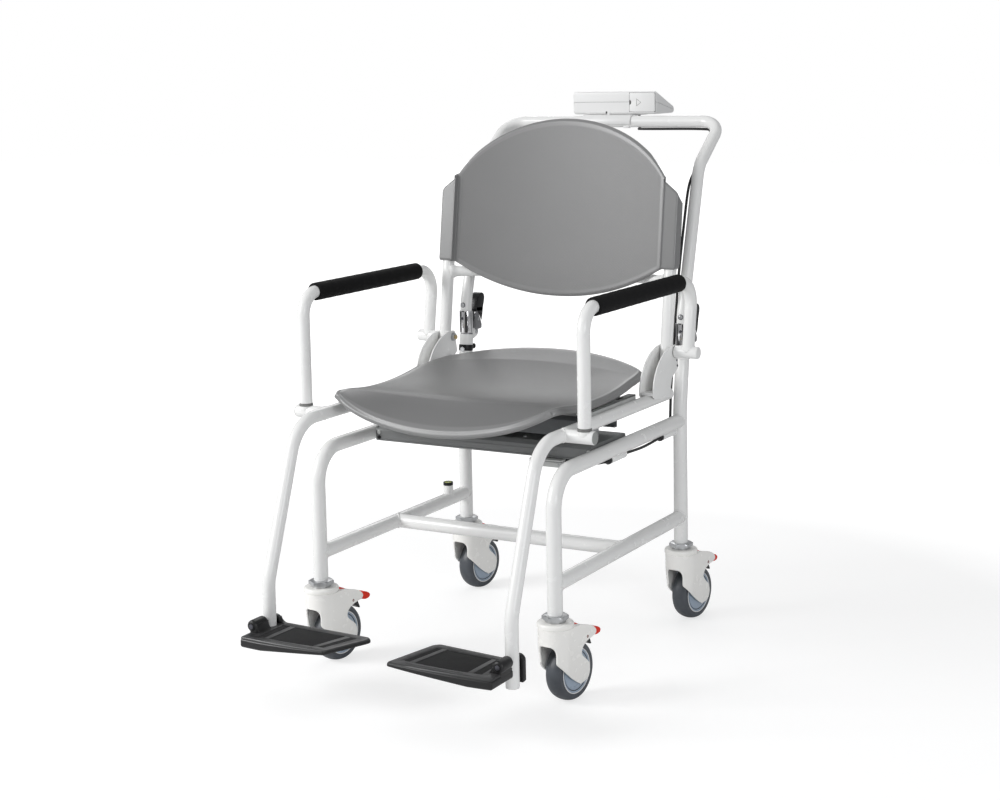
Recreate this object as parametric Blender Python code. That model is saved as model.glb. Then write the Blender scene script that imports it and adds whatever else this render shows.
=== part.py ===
# Digital chair scale: a tube frame on four braked swivel casters, with a moulded seat and back on load
# cells, lift-up armrests, flip-up footplates and a push handle that folds back with the indicator on it.
# Lengths are in metres and +Z is up. The chair faces -Y, so its own left side is +X.
import math

import bmesh
import bpy
from mathutils import Matrix, Vector

for oldObject in list(bpy.data.objects):
    bpy.data.objects.remove(oldObject, do_unlink=True)

# Frame and wheels, the sizes that everything else follows
trackWidth = 0.460  # between the leg centres, left to right
wheelBase = 0.497  # between the leg centres, front to back
wheelDiameter = 0.100
casterHeight = wheelDiameter + 0.033  # floor to the top of a caster housing
lowerRailHeight = 0.200
baseRailHeight = lowerRailHeight + 0.180
seatRailHeight = baseRailHeight + 0.060
baseTubeDiameter = 0.0254
seatTubeDiameter = 0.0222
tubeWall = 0.002
sheet = 0.003  # plates, channels and brackets
clearance = 0.0003  # between pieces that touch
pinClearance = 0.0003  # round a pin, in its bore
cutOverrun = 0.004  # how far a cutter runs past what it cuts

# Seat, back and arms
seatTrack = 0.464  # between the two seat rails
seatInset = 0.014  # of the seat's edges inside the rails
seatDepth = 0.440
backMargin = 0.021  # of the back's edges outside the rails
backPeakRise = 0.490  # of the back's upper edge above the rails
armSpread = 0.040  # of each armrest outside its rail
armRise = 0.206  # of the armrests above the rails
uprightLean = 0.142  # rearward run per height of the back tubes

# Push handle and indicator
handleRise = 0.478  # of the handle bar above the seat rails
handleSetback = 0.200  # of the handle bar behind the rear legs
indicatorWidth = 0.184
caseDepth = 0.086
caseLead = 0.008  # of the case's front face behind the handle bar's centre

# Casters
wheelWidth = 0.031
casterTrail = 0.037
casterYaw = math.radians(-8)  # how far each caster is turned from straight back

# Footplates
footplateHeight = 0.112
footplateWidth = 0.176
footplateDepth = 0.104
hangerFootReach = -0.147  # of the hanger's lower end, ahead of the front legs

seatWidth = seatTrack - 2 * seatInset
backWidth = seatTrack + 2 * backMargin
backPeakHeight = seatRailHeight + backPeakRise
armTrack = seatTrack + 2 * armSpread
armHeight = seatRailHeight + armRise
handleHeight = seatRailHeight + handleRise
handleReach = wheelBase + handleSetback  # behind the front legs
baseRadius = baseTubeDiameter / 2
seatTubeRadius = seatTubeDiameter / 2
tubeSides = 12
bendStep = math.radians(20)
sideSigns = (("left", 1), ("right", -1))

# The whole chair hangs under one empty, which centres it front to back
indicatorFar = handleReach + caseLead + caseDepth
footplateFront = hangerFootReach - 0.76 * footplateDepth
chair = bpy.data.objects.new("chair_scale", None)
bpy.context.collection.objects.link(chair)
chair.location = (0, -(indicatorFar + footplateFront) / 2, 0)


def makeMaterial(name, colour, roughness, metallic=0):
    material = bpy.data.materials.new(name)
    material.use_nodes = True
    shader = material.node_tree.nodes["Principled BSDF"]
    shader.inputs["Base Color"].default_value = (*colour, 1)
    shader.inputs["Roughness"].default_value = roughness
    shader.inputs["Metallic"].default_value = metallic
    material.diffuse_color = (*colour, 1)
    return material


framePaint = makeMaterial("frame_paint", (0.72, 0.73, 0.71), 0.35)
channelPaint = makeMaterial("channel_paint", (0.36, 0.37, 0.37), 0.45)
shellPlastic = makeMaterial("shell_plastic", (0.28, 0.28, 0.28), 0.55)
casterPlastic = makeMaterial("caster_plastic", (0.80, 0.79, 0.74), 0.4)
treadRubber = makeMaterial("tread_rubber", (0.05, 0.05, 0.06), 0.6)
pedalPlastic = makeMaterial("pedal_plastic", (0.62, 0.02, 0.01), 0.4)
footPlastic = makeMaterial("foot_plastic", (0.02, 0.02, 0.02), 0.5)
gripFoam = makeMaterial("grip_foam", (0.015, 0.015, 0.015), 0.8)
chromedSteel = makeMaterial("chromed_steel", (0.75, 0.75, 0.76), 0.12, 1)
cellAluminium = makeMaterial("cell_aluminium", (0.70, 0.71, 0.72), 0.35, 1)
leverPlastic = makeMaterial("lever_plastic", (0.015, 0.015, 0.015), 0.35)
cableSheath = makeMaterial("cable_sheath", (0.01, 0.01, 0.01), 0.5)
caseWhite = makeMaterial("case_white", (0.74, 0.74, 0.73), 0.4)
screenGlass = makeMaterial("screen_glass", (0.20, 0.29, 0.22), 0.15)
keyPlastic = makeMaterial("key_plastic", (0.45, 0.46, 0.47), 0.45)


# Modelling helpers


def finish(name, mesh, material):
    mesh.normal_update()
    bmesh.ops.recalc_face_normals(mesh, faces=mesh.faces)
    data = bpy.data.meshes.new(name)
    mesh.to_mesh(data)
    mesh.free()
    data.materials.append(material)
    made = bpy.data.objects.new(name, data)
    bpy.context.collection.objects.link(made)
    made.parent = chair
    return made


def smooth(made):
    made.data.shade_smooth()
    made.data.set_sharp_from_angle(angle=math.radians(35))
    return made


def setPivot(made, point):
    """Moves the object's origin to its joint's axis and leaves the shape where it is."""
    made.data.transform(Matrix.Translation(-Vector(point)))
    made.location = point
    return made


def combine(target, other, operation):
    """Unites, cuts or intersects two closed shapes, and removes the second."""
    modifier = target.modifiers.new("combine", "BOOLEAN")
    modifier.operation = operation
    modifier.object = other
    bpy.context.view_layer.update()
    graph = bpy.context.evaluated_depsgraph_get()
    joined = bpy.data.meshes.new_from_object(target.evaluated_get(graph))
    target.modifiers.clear()
    joined.name = target.name
    target.data = joined
    bpy.data.objects.remove(other, do_unlink=True)
    return target


def unite(target, *others):
    for other in others:
        combine(target, other, "UNION")
    return target


def cut(target, *cutters):
    for cutter in cutters:
        combine(target, cutter, "DIFFERENCE")
    return target


def bentPath(corners, radii):
    """A route through straight runs, with an arc of the given radius at each inner corner."""
    points = [Vector(corners[0])]
    for before, corner, after, radius in zip(corners, corners[1:], corners[2:], radii):
        corner = Vector(corner)
        back = (Vector(before) - corner).normalized()
        ahead = (Vector(after) - corner).normalized()
        turn = math.pi - back.angle(ahead)
        centre = corner + (back + ahead).normalized() * radius / math.cos(turn / 2)
        start = corner + back * radius * math.tan(turn / 2) - centre
        steps = max(2, math.ceil(turn / bendStep))
        axis = ahead.cross(back).normalized()
        for step in range(steps + 1):
            points.append(centre + Matrix.Rotation(turn * step / steps, 3, axis) @ start)
    points.append(Vector(corners[-1]))
    return points


def sweep(name, path, radius, material, bore=0, sides=tubeSides):
    """A round tube along a route, with a bore when one is given."""
    mesh = bmesh.new()
    tangents = []
    for index in range(len(path)):
        ahead = path[min(index + 1, len(path) - 1)] - path[index]
        back = path[index] - path[max(index - 1, 0)]
        tangents.append((ahead.normalized() + back.normalized()).normalized())
    across = tangents[0].orthogonal().normalized()
    rings = []
    for point, tangent in zip(path, tangents):
        across = (across - tangent * across.dot(tangent)).normalized()
        other = tangent.cross(across)
        rings.append((point, across.copy(), other))

    def addSkin(skinRadius):
        loops = []
        for point, first, second in rings:
            loop = []
            for side in range(sides):
                angle = 2 * math.pi * side / sides
                offset = first * math.cos(angle) + second * math.sin(angle)
                loop.append(mesh.verts.new(point + offset * skinRadius))
            loops.append(loop)
        for near, far in zip(loops, loops[1:]):
            for side in range(sides):
                following = (side + 1) % sides
                mesh.faces.new((near[side], near[following], far[following], far[side]))
        return loops

    outer = addSkin(radius)
    if bore:
        inner = addSkin(bore)
        for outerLoop, innerLoop in ((outer[0], inner[0]), (outer[-1], inner[-1])):
            for side in range(sides):
                following = (side + 1) % sides
                mesh.faces.new(
                    (outerLoop[side], outerLoop[following], innerLoop[following], innerLoop[side])
                )
    else:
        mesh.faces.new(outer[0])
        mesh.faces.new(outer[-1])
    return smooth(finish(name, mesh, material))


def rod(name, start, end, radius, material, sides=tubeSides):
    return sweep(name, [Vector(start), Vector(end)], radius, material, sides=sides)


def roundCutter(start, end, radius):
    """A finer cylinder, which a tube of the same size fits without touching."""
    return rod("cutter", start, end, radius, framePaint, sides=2 * tubeSides)


def pinCutter(start, end, radius):
    """A plainer cylinder for the bore of a pin."""
    return rod("cutter", start, end, radius, framePaint)


def block(name, low, high, material, bevel=0):
    """A box between two corners, with rounded edges when a bevel is given."""
    low = Vector(low)
    high = Vector(high)
    mesh = bmesh.new()
    bmesh.ops.create_cube(mesh, size=1)
    for vertex in mesh.verts:
        share = vertex.co + Vector((0.5, 0.5, 0.5))
        vertex.co = low + Vector(share[axis] * (high - low)[axis] for axis in range(3))
    if bevel:
        bmesh.ops.bevel(mesh, geom=mesh.edges[:], offset=bevel, segments=2, profile=0.5, affect="EDGES")
    return smooth(finish(name, mesh, material))


def prism(name, outline, axis, low, high, material):
    """An outline pushed along one axis: (y, z) along X, (x, z) along Y or (x, y) along Z."""
    mesh = bmesh.new()
    loops = []
    for along in (low, high):
        loop = []
        for first, second in outline:
            place = {"X": (along, first, second), "Y": (first, along, second), "Z": (first, second, along)}
            loop.append(mesh.verts.new(place[axis]))
        loops.append(loop)
    mesh.faces.new(loops[0])
    mesh.faces.new(loops[1])
    count = len(outline)
    for index in range(count):
        following = (index + 1) % count
        mesh.faces.new((loops[0][index], loops[0][following], loops[1][following], loops[1][index]))
    return smooth(finish(name, mesh, material))


def turned(name, profile, centre, axis, material, sides=24):
    """A profile of (radius, along) points turned about an axis through a centre."""
    mesh = bmesh.new()
    spin = Vector((0, 0, 1)).rotation_difference(Vector(axis)).to_matrix()
    columns = []
    poles = {}
    for side in range(sides):
        angle = 2 * math.pi * side / sides
        column = []
        for index, (radius, along) in enumerate(profile):
            if radius == 0 and index in poles:
                column.append(poles[index])
                continue
            local = Vector((radius * math.cos(angle), radius * math.sin(angle), along))
            vertex = mesh.verts.new(Vector(centre) + spin @ local)
            if radius == 0:
                poles[index] = vertex
            column.append(vertex)
        columns.append(column)
    closed = profile[0][0] > 0
    spans = len(profile) if closed else len(profile) - 1
    for side in range(sides):
        near = columns[side]
        far = columns[(side + 1) % sides]
        for index in range(spans):
            following = (index + 1) % len(profile)
            corners = [near[index], near[following], far[following], far[index]]
            unique = list(dict.fromkeys(corners))
            if len(unique) > 2:
                mesh.faces.new(unique)
    return smooth(finish(name, mesh, material))


def arc(centre, radius, start, end, steps):
    """Points on an arc in a plane, between two angles in degrees."""
    points = []
    for step in range(steps + 1):
        angle = math.radians(start + (end - start) * step / steps)
        points.append((centre[0] + radius * math.cos(angle), centre[1] + radius * math.sin(angle)))
    return points


def ovalArc(centre, acrossRadius, upRadius, start, end, steps):
    """Points on an oval arc in a plane, between two angles in degrees."""
    unit = arc((0, 0), 1, start, end, steps)
    return [(centre[0] + acrossRadius * x, centre[1] + upRadius * y) for x, y in unit]


# Base frame: two side frames of bent tube on the casters, tied by the lower cross bar and the load beam

legBendRadius = 0.060
nutWidth = 0.036  # across the flats
nutHeight = 0.0135
nutLap = 0.002  # how far a leg stands in its nut
stemRadius = 0.005
stemLength = 0.022
conduitRadius = 0.0065
conduitLength = 0.058
conduitSlack = 0.001  # round the cable
cableRadius = 0.0025
conduitSag = 0.0155  # of a conduit's centre below the rail's
conduitLeads = (0.2962, 0.0870)  # of each conduit's front end ahead of the rear legs


def legX(sign):
    return sign * trackWidth / 2


def legFoot(sign, along):
    """The hex nut and the stem at the foot of a leg, which the caster turns on."""
    x = legX(sign)
    bottom = casterHeight + clearance
    hexagon = [
        (x + corner[0] / math.cos(math.pi / 6), along + corner[1] / math.cos(math.pi / 6))
        for corner in arc((0, 0), nutWidth / 2, 0, 300, 5)
    ]
    nut = prism("nut", hexagon, "Z", bottom, bottom + nutHeight, framePaint)
    stem = rod("stem", (x, along, bottom - stemLength), (x, along, bottom + nutLap), stemRadius, framePaint)
    return nut, stem


def makeFrontLeg(side, sign):
    x = legX(sign)
    foot = casterHeight + nutHeight - nutLap
    corners = [(x, 0, foot), (x, 0, baseRailHeight), (x, wheelBase, baseRailHeight)]
    leg = sweep(
        f"front_leg_{side}",
        bentPath(corners, [legBendRadius]),
        baseRadius,
        framePaint,
        baseRadius - tubeWall,
    )
    rearLegCut = roundCutter(
        (x, wheelBase, lowerRailHeight), (x, wheelBase, seatRailHeight), baseRadius + clearance
    )
    cut(leg, rearLegCut)
    unite(leg, *legFoot(sign, 0))
    if sign > 0:
        height = baseRailHeight - conduitSag
        for lead in conduitLeads:
            start = wheelBase - lead
            end = start + conduitLength
            unite(leg, rod("conduit", (x, start, height), (x, end, height), conduitRadius, framePaint))
            hole = pinCutter(
                (x, start - cutOverrun, height), (x, end + cutOverrun, height), cableRadius + conduitSlack
            )
            cut(leg, hole)
    return leg


hingeSetback = 0.015  # of the fold hinge's tube behind the rear legs
hingeRise = 0.132  # of a rear leg's upper end above the base rail
rearBendDrop = 0.112  # of its bend below that end
rearBendRadius = 0.250
foldSetback = 0.028  # of the fold pin behind the hinge's tube
foldRise = 0.002  # of the fold pin above a rear leg's end
hingeReach = wheelBase + hingeSetback  # behind the front legs
rearLegTop = baseRailHeight + hingeRise
foldReach = hingeReach + foldSetback
foldHeight = rearLegTop + foldRise
lugThickness = 0.0026
lugSpread = 0.0031  # of a lug's inner face from the middle
lugRadius = 0.007
foldPinRadius = 0.003


def makeRearLeg(side, sign):
    x = legX(sign)
    foot = casterHeight + nutHeight - nutLap
    corners = [(x, wheelBase, foot), (x, wheelBase, rearLegTop - rearBendDrop), (x, hingeReach, rearLegTop)]
    leg = sweep(f"rear_leg_{side}", bentPath(corners, [rearBendRadius]), baseRadius, framePaint)
    unite(leg, *legFoot(sign, wheelBase))
    behindTube = hingeReach + baseRadius + 3 * clearance
    outline = [
        (hingeReach, rearLegTop - 2 * lugRadius),
        *arc((foldReach, foldHeight), lugRadius, -90, 90, 6),
        (behindTube + 0.3 * lugRadius, foldHeight + lugRadius),
        (behindTube, foldHeight + 0.4 * lugRadius),
        (behindTube, rearLegTop - clearance),
        (hingeReach, rearLegTop - clearance),
    ]
    for direction in (-1, 1):
        near = x + direction * lugSpread
        lug = prism("lug", outline, "X", near, near + direction * lugThickness, framePaint)
        unite(leg, lug)
    reach = lugSpread + lugThickness
    pin = rod(
        "pin", (x - reach, foldReach, foldHeight), (x + reach, foldReach, foldHeight), foldPinRadius,
        framePaint,
    )
    return unite(leg, pin)


def makeLowerRail(side, sign):
    x = legX(sign)
    rail = sweep(
        f"lower_rail_{side}",
        [Vector((x, 0, lowerRailHeight)), Vector((x, wheelBase, lowerRailHeight))],
        baseRadius,
        framePaint,
        baseRadius - tubeWall,
    )
    for along in (0, wheelBase):
        cut(
            rail,
            roundCutter((x, along, casterHeight), (x, along, baseRailHeight), baseRadius + clearance),
        )
    if sign < 0:
        unite(rail, makeLevelPost(x))
    return rail


levelShare = 0.865  # along the wheelbase
levelPostRadius = 0.0095
levelPostTop = lowerRailHeight + 0.028
levelHeight = 0.006
levelWall = 0.0015


def makeLevelPost(x):
    along = levelShare * wheelBase
    return rod(
        "post",
        (x, along, lowerRailHeight + baseRadius / 2),
        (x, along, levelPostTop),
        levelPostRadius,
        framePaint,
    )


def makeBubbleLevel():
    """The round level's cup, with its window sunk a little below the rim."""
    foot = levelPostTop + clearance
    inner = levelPostRadius - levelWall
    profile = [
        (0, 0),
        (levelPostRadius, 0),
        (levelPostRadius, levelHeight),
        (inner, levelHeight),
        (inner, levelHeight - levelWall),
        (0, levelHeight - levelWall),
    ]
    centre = (legX(-1), levelShare * wheelBase, foot)
    return turned("bubble_level", profile, centre, (0, 0, 1), leverPlastic, sides=16)


def makeCrossBar():
    along = wheelBase / 2
    bar = sweep(
        "cross_bar",
        [Vector((legX(-1), along, lowerRailHeight)), Vector((legX(1), along, lowerRailHeight))],
        baseRadius,
        framePaint,
        baseRadius - tubeWall,
    )
    for side, sign in sideSigns:
        rail = roundCutter(
            (legX(sign), 0, lowerRailHeight),
            (legX(sign), wheelBase, lowerRailHeight),
            baseRadius + clearance,
        )
        cut(bar, rail)
    return bar


beamLead = 0.332  # of the load beam's front ahead of the rear legs
beamFront = wheelBase - beamLead
beamDepth = 0.130
beamRise = 0.015  # of the load beam's top above the base rail's centre
beamDrop = 0.012  # of its lower edge below it
beamChamfer = 0.007
beamLip = 0.010
screwRadius = 0.0028
screwHeadHeight = 0.0015


def channelSection(front, depth, bottom, top, lip):
    """A pressed channel seen from its end, open below, with chamfered shoulders and turned-in lips."""
    back = front + depth
    outer = [
        (front + lip, bottom),
        (front, bottom),
        (front, top - beamChamfer),
        (front + beamChamfer, top),
        (back - beamChamfer, top),
        (back, top - beamChamfer),
        (back, bottom),
        (back - lip, bottom),
    ]
    inner = [
        (back - lip, bottom + sheet),
        (back - sheet, bottom + sheet),
        (back - sheet, top - beamChamfer),
        (back - beamChamfer, top - sheet),
        (front + beamChamfer, top - sheet),
        (front + sheet, top - beamChamfer),
        (front + sheet, bottom + sheet),
        (front + lip, bottom + sheet),
    ]
    return outer + inner


def makeLoadBeam():
    reach = trackWidth / 2 - baseRadius - clearance
    bottom = baseRailHeight - beamDrop
    top = baseRailHeight + beamRise
    section = channelSection(beamFront, beamDepth, bottom, top, beamLip)
    beam = prism("load_beam", section, "X", -reach, reach, channelPaint)
    for side, sign in sideSigns:
        inner = sign * (reach - sheet)
        low, high = sorted((inner, sign * reach))
        plate = block(
            "plate", (low, beamFront + sheet / 2, bottom), (
                high, beamFront + beamDepth - sheet / 2, top - sheet / 2
            ),
            channelPaint,
        )
        unite(beam, plate)
        # Two screw heads stand on the front face, by the end plate
        for share in (0.3, 0.75):
            x = sign * (reach - 2 * screwRadius)
            height = bottom + share * (top - beamChamfer - bottom)
            head = rod(
                "head",
                (x, beamFront - screwHeadHeight, height),
                (x, beamFront + sheet / 2, height),
                screwRadius,
                channelPaint,
                sides=8,
            )
            unite(beam, head)
    return beam


seatBeamInset = 0.010  # of its edges inside the load beam's
seatBeamFront = beamFront + seatBeamInset
seatBeamDepth = beamDepth - 2 * seatBeamInset
seatBeamDrop = 0.035  # of its lower edge below the seat rail's centre
cellLength = 0.150
cellDepth = 0.030
cellHeight = 0.024
cellInset = 0.040  # of a cell's inner end from the middle
cellFoot = 0.036  # length of each mounting pad
cellBoreRadius = 0.0085
cellBorePitch = 0.024


def makeLoadCell(side, sign):
    """A bending-beam cell: its outer end is on the load beam and its inner end carries the seat beam."""
    floor = baseRailHeight + beamRise + clearance
    ceiling = seatRailHeight - sheet - clearance
    middle = (floor + ceiling) / 2
    along = seatBeamFront + seatBeamDepth / 2
    inner = sign * cellInset
    outer = sign * (cellInset + cellLength)

    def pad(name, first, second, low, high):
        left, right = sorted((first, second))
        return block(
            name, (left, along - cellDepth / 2, low), (right, along + cellDepth / 2, high), cellAluminium
        )

    cell = pad(f"load_cell_{side}", inner, outer, middle - cellHeight / 2, middle + cellHeight / 2)
    unite(cell, pad("foot", outer, outer - sign * cellFoot, floor, middle))
    unite(cell, pad("head", inner, inner + sign * cellFoot, middle, ceiling))
    centre = (inner + outer) / 2
    for shift in (-0.5, 0.5):
        x = centre + shift * cellBorePitch
        start = (x, along - cellDepth / 2 - cutOverrun, middle)
        end = (x, along + cellDepth / 2 + cutOverrun, middle)
        cut(cell, pinCutter(start, end, cellBoreRadius))
    slot = block(
        "slot",
        (centre - cellBorePitch / 2, along - cellDepth / 2 - cutOverrun, middle - cellBoreRadius / 4),
        (centre + cellBorePitch / 2, along + cellDepth / 2 + cutOverrun, middle + cellBoreRadius / 4),
        cellAluminium,
    )
    return cut(cell, slot)


boxWidth = 0.062
boxDepth = 0.040
boxHeight = 0.013
boxSide = 0.103  # of its inner end from the middle
boxLead = 0.013  # how far it stands ahead of the beam
glandRadius = 0.005
glandLength = 0.006


def makeJunctionBox():
    top = baseRailHeight - beamDrop - clearance
    front = beamFront - boxLead
    box = block(
        "junction_box",
        (boxSide, front, top - boxHeight),
        (boxSide + boxWidth, front + boxDepth, top),
        channelPaint,
        bevel=boxHeight / 10,
    )
    glandRoot = Vector((boxSide + boxWidth - sheet, front + boxDepth / 2, top - boxHeight / 2))
    gland = rod(
        "gland", glandRoot, glandRoot + Vector((glandLength + sheet, 0, 0)), glandRadius, channelPaint
    )
    return unite(box, gland)


# Seat frame: rails with the footplate hangers, brackets and tubes for the back, carriers under the seat

seatBendRadius = 0.075
hangerLean = 0.373  # forward run per drop of the hanger
hangerKnee = footplateHeight + 0.074
hangerKneeRadius = 0.060
hangerFoot = footplateHeight - 0.036
pivotInset = 0.057  # of the armrest's axis ahead of the rear legs
pivotReach = wheelBase - pivotInset
seatRailRear = pivotReach + 0.001
stubOverhang = 0.019  # of the stub's end outside the armrest
stubReach = armTrack / 2 + stubOverhang
stubAlong = 0.0315  # of the stub behind the front legs
socketHeight = 0.0035
socketRadius = 0.0135
hingePinRadius = 0.004
hingePinHeight = footplateHeight + 0.013
bossLength = 0.036
bossRadius = 0.0105
lugDepth = 0.009


def seatRailX(sign):
    return sign * seatTrack / 2


def makeSeatRail(side, sign):
    x = seatRailX(sign)
    foldY = hangerFootReach + hangerLean * (seatRailHeight - hangerKnee)
    corners = [
        (x, seatRailRear, seatRailHeight),
        (x, foldY, seatRailHeight),
        (x, hangerFootReach, hangerKnee),
        (x, hangerFootReach, hangerFoot),
    ]
    rail = sweep(
        f"seat_rail_{side}", bentPath(corners, [seatBendRadius, hangerKneeRadius]), seatTubeRadius,
        framePaint,
    )
    # The armrest rests on a stub welded to the rail's outer side
    stubEnd = Vector((sign * stubReach, stubAlong, seatRailHeight))
    stub = rod(
        "stub", (x + sign * seatTubeRadius / 2, stubAlong, seatRailHeight), stubEnd, seatTubeRadius,
        framePaint,
    )
    armX = sign * armTrack / 2
    socket = rod(
        "socket",
        (armX, stubAlong, seatRailHeight + seatTubeRadius / 2),
        (armX, stubAlong, seatRailHeight + seatTubeRadius + socketHeight),
        socketRadius,
        framePaint,
    )
    # The footplate's hinge pin runs fore and aft through the hanger's foot
    reach = seatTubeRadius + 2 * clearance
    pin = rod(
        "pin",
        (x, hangerFootReach - reach - bossLength, hingePinHeight),
        (x, hangerFootReach + reach + lugDepth, hingePinHeight),
        hingePinRadius,
        framePaint,
        sides=12,
    )
    return unite(rail, stub, socket, pin)


carrierWidth = 0.0145
carrierLead = 0.310  # of their front ends ahead of the armrest's axis
carrierFront = pivotReach - carrierLead
carrierLength = 0.200
carrierTop = seatRailHeight + 0.016
carrierDrop = 0.010  # of its lower edge below the seat rail's centre
padHeight = 0.012
padWidth = 0.055
padDepth = 0.030


def carrierInner():
    return seatTrack / 2 - seatTubeRadius - clearance - carrierWidth


def makeSeatBeam():
    reach = carrierInner() - clearance
    bottom = seatRailHeight - seatBeamDrop
    section = channelSection(seatBeamFront, seatBeamDepth, bottom, seatRailHeight, beamLip)
    beam = prism("seat_beam", section, "X", -reach, reach, channelPaint)
    for side, sign in sideSigns:
        low, high = sorted((sign * reach, sign * (reach - padWidth)))
        pad = block(
            "pad",
            (low, seatBeamFront + beamChamfer, seatRailHeight - sheet / 2),
            (high, seatBeamFront + beamChamfer + padDepth, seatRailHeight + padHeight),
            channelPaint,
        )
        unite(beam, pad)
    return beam


def makeSeatCarrier(side, sign):
    """An upright flat bar along the rail, with two slots where the seat shell is bolted on."""
    inner = sign * carrierInner()
    outer = inner + sign * carrierWidth
    low, high = sorted((inner, outer))
    bottom = seatRailHeight - carrierDrop
    carrier = block(
        f"seat_carrier_{side}",
        (low, carrierFront, bottom),
        (high, carrierFront + carrierLength, carrierTop),
        channelPaint,
    )
    # A channel section: open towards the middle of the chair
    hollowLow, hollowHigh = sorted((inner - sign * cutOverrun, outer - sign * sheet))
    hollow = block(
        "hollow",
        (hollowLow, carrierFront - cutOverrun, bottom + sheet),
        (hollowHigh, carrierFront + carrierLength + cutOverrun, carrierTop - sheet),
        channelPaint,
    )
    cut(carrier, hollow)
    slotLength = carrierLength / 8
    for share in (0.25, 0.75):
        centre = carrierFront + share * carrierLength
        middle = inner + sign * carrierWidth / 2
        slot = block(
            "slot",
            (middle - screwRadius, centre - slotLength / 2, carrierTop - 2 * sheet),
            (middle + screwRadius, centre + slotLength / 2, carrierTop + cutOverrun),
            channelPaint,
        )
        cut(carrier, slot)
    return carrier


pivotHeight = seatRailHeight + 0.077
pivotRadius = 0.004
barrelRadius = 0.011
barrelOverhang = 0.0205  # of its outer end outside the armrest
barrelEnd = armTrack / 2 + barrelOverhang
bracketReach = 0.092  # of its front ahead of the armrest's axis
bracketFront = pivotReach - bracketReach
bracketWeb = 0.027
bracketTopRadius = 0.0125
backCrown = 0.145  # of the back's corners below its peak
uprightInset = 0.003  # of a back tube's end below the corners
backShoulder = backPeakHeight - backCrown
uprightTop = backShoulder - uprightInset


def uprightY(height):
    """Where the leaning back tube is, at a height."""
    return pivotReach - barrelRadius / 4 + uprightLean * (height - pivotHeight) - seatTubeRadius / 4


def makeBackBracket(side, sign):
    """Two plates beside the rail and the back tube, joined by a web, with the armrest's pivot bolt."""
    x = seatRailX(sign)
    railTop = seatRailHeight + seatTubeRadius
    rise = pivotHeight - railTop
    outline = [
        (bracketFront, railTop - seatTubeRadius / 6),
        *ovalArc(
            (pivotReach, railTop), pivotReach - bracketFront, pivotHeight + bracketTopRadius - railTop,
            172, 98, 5,
        ),
        *arc((pivotReach, pivotHeight), bracketTopRadius, 75, -30, 4),
        (pivotReach + bracketTopRadius * 1.3, pivotHeight - 0.45 * rise),
        (pivotReach - bracketTopRadius, pivotHeight - 0.7 * rise),
        (seatRailRear - 2 * bracketTopRadius, seatRailHeight - seatTubeRadius / 4),
    ]
    inner = seatTubeRadius + clearance
    bracket = None
    for direction in (-1, 1):
        near = x + direction * inner
        plate = prism(f"back_bracket_{side}", outline, "X", near, near + direction * sheet, framePaint)
        if bracket is None:
            bracket = plate
        else:
            web = block(
                "web",
                (x - inner - sheet / 2, bracketFront + sheet, railTop + clearance),
                (x + inner + sheet / 2, bracketFront + sheet + bracketWeb, railTop + clearance + sheet),
                framePaint,
            )
            unite(bracket, web, plate)
    innerEnd = x - sign * (inner + 2 * sheet)
    bolt = rod(
        "bolt",
        (innerEnd, pivotReach, pivotHeight),
        (sign * (barrelEnd - sheet), pivotReach, pivotHeight),
        pivotRadius,
        framePaint,
        sides=12,
    )
    return unite(bracket, bolt)


def makeBackUpright(side, sign):
    x = seatRailX(sign)
    start = Vector((x, uprightY(seatRailHeight), seatRailHeight))
    end = Vector((x, uprightY(uprightTop), uprightTop))
    upright = rod(f"back_upright_{side}", start, end, seatTubeRadius, framePaint)
    railCut = roundCutter(
        (x, bracketFront, seatRailHeight), (x, wheelBase, seatRailHeight), seatTubeRadius + clearance
    )
    boltCut = pinCutter(
        (x - baseTubeDiameter, pivotReach, pivotHeight),
        (x + baseTubeDiameter, pivotReach, pivotHeight),
        pivotRadius + pinClearance,
    )
    return cut(upright, railCut, boltCut)


backDip = seatRailHeight + 0.164  # of the back's lower edge, in the middle
crossTubeHeight = backDip + 0.038
crossTubeRadius = 0.0095
crossTubeBow = 0.029  # how far its middle stands behind the back tubes
crossTubeRamp = 0.067
crossTubeBend = 0.110


def makeBackCrossTube():
    """A tube between the back tubes, set back in the middle to clear the panel."""
    along = uprightY(crossTubeHeight)
    ends = seatRailX(1)
    corners = [
        (-ends, along, crossTubeHeight),
        (crossTubeRamp - ends, along + crossTubeBow, crossTubeHeight),
        (ends - crossTubeRamp, along + crossTubeBow, crossTubeHeight),
        (ends, along, crossTubeHeight),
    ]
    tube = sweep(
        "back_cross_tube", bentPath(corners, [crossTubeBend, crossTubeBend]), crossTubeRadius, framePaint
    )
    for side, sign in sideSigns:
        x = seatRailX(sign)
        low = (x, uprightY(pivotHeight), pivotHeight)
        high = (x, uprightY(uprightTop), uprightTop)
        cut(tube, roundCutter(low, high, seatTubeRadius + clearance))
    return tube


# Moulded shells

shellWall = 0.005
seatRidge = seatRailHeight + 0.040  # height of the ridge where the front rolls down
seatLipDrop = 0.056  # of the front lip below the ridge, in the middle
seatDish = 0.018
seatRearRise = 0.030
seatSideRise = 0.006
seatRibWidth = 0.010
ribShares = (0.30, 0.40, 0.50, 0.60, 0.70)  # of the seat's depth, along a rib


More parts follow.
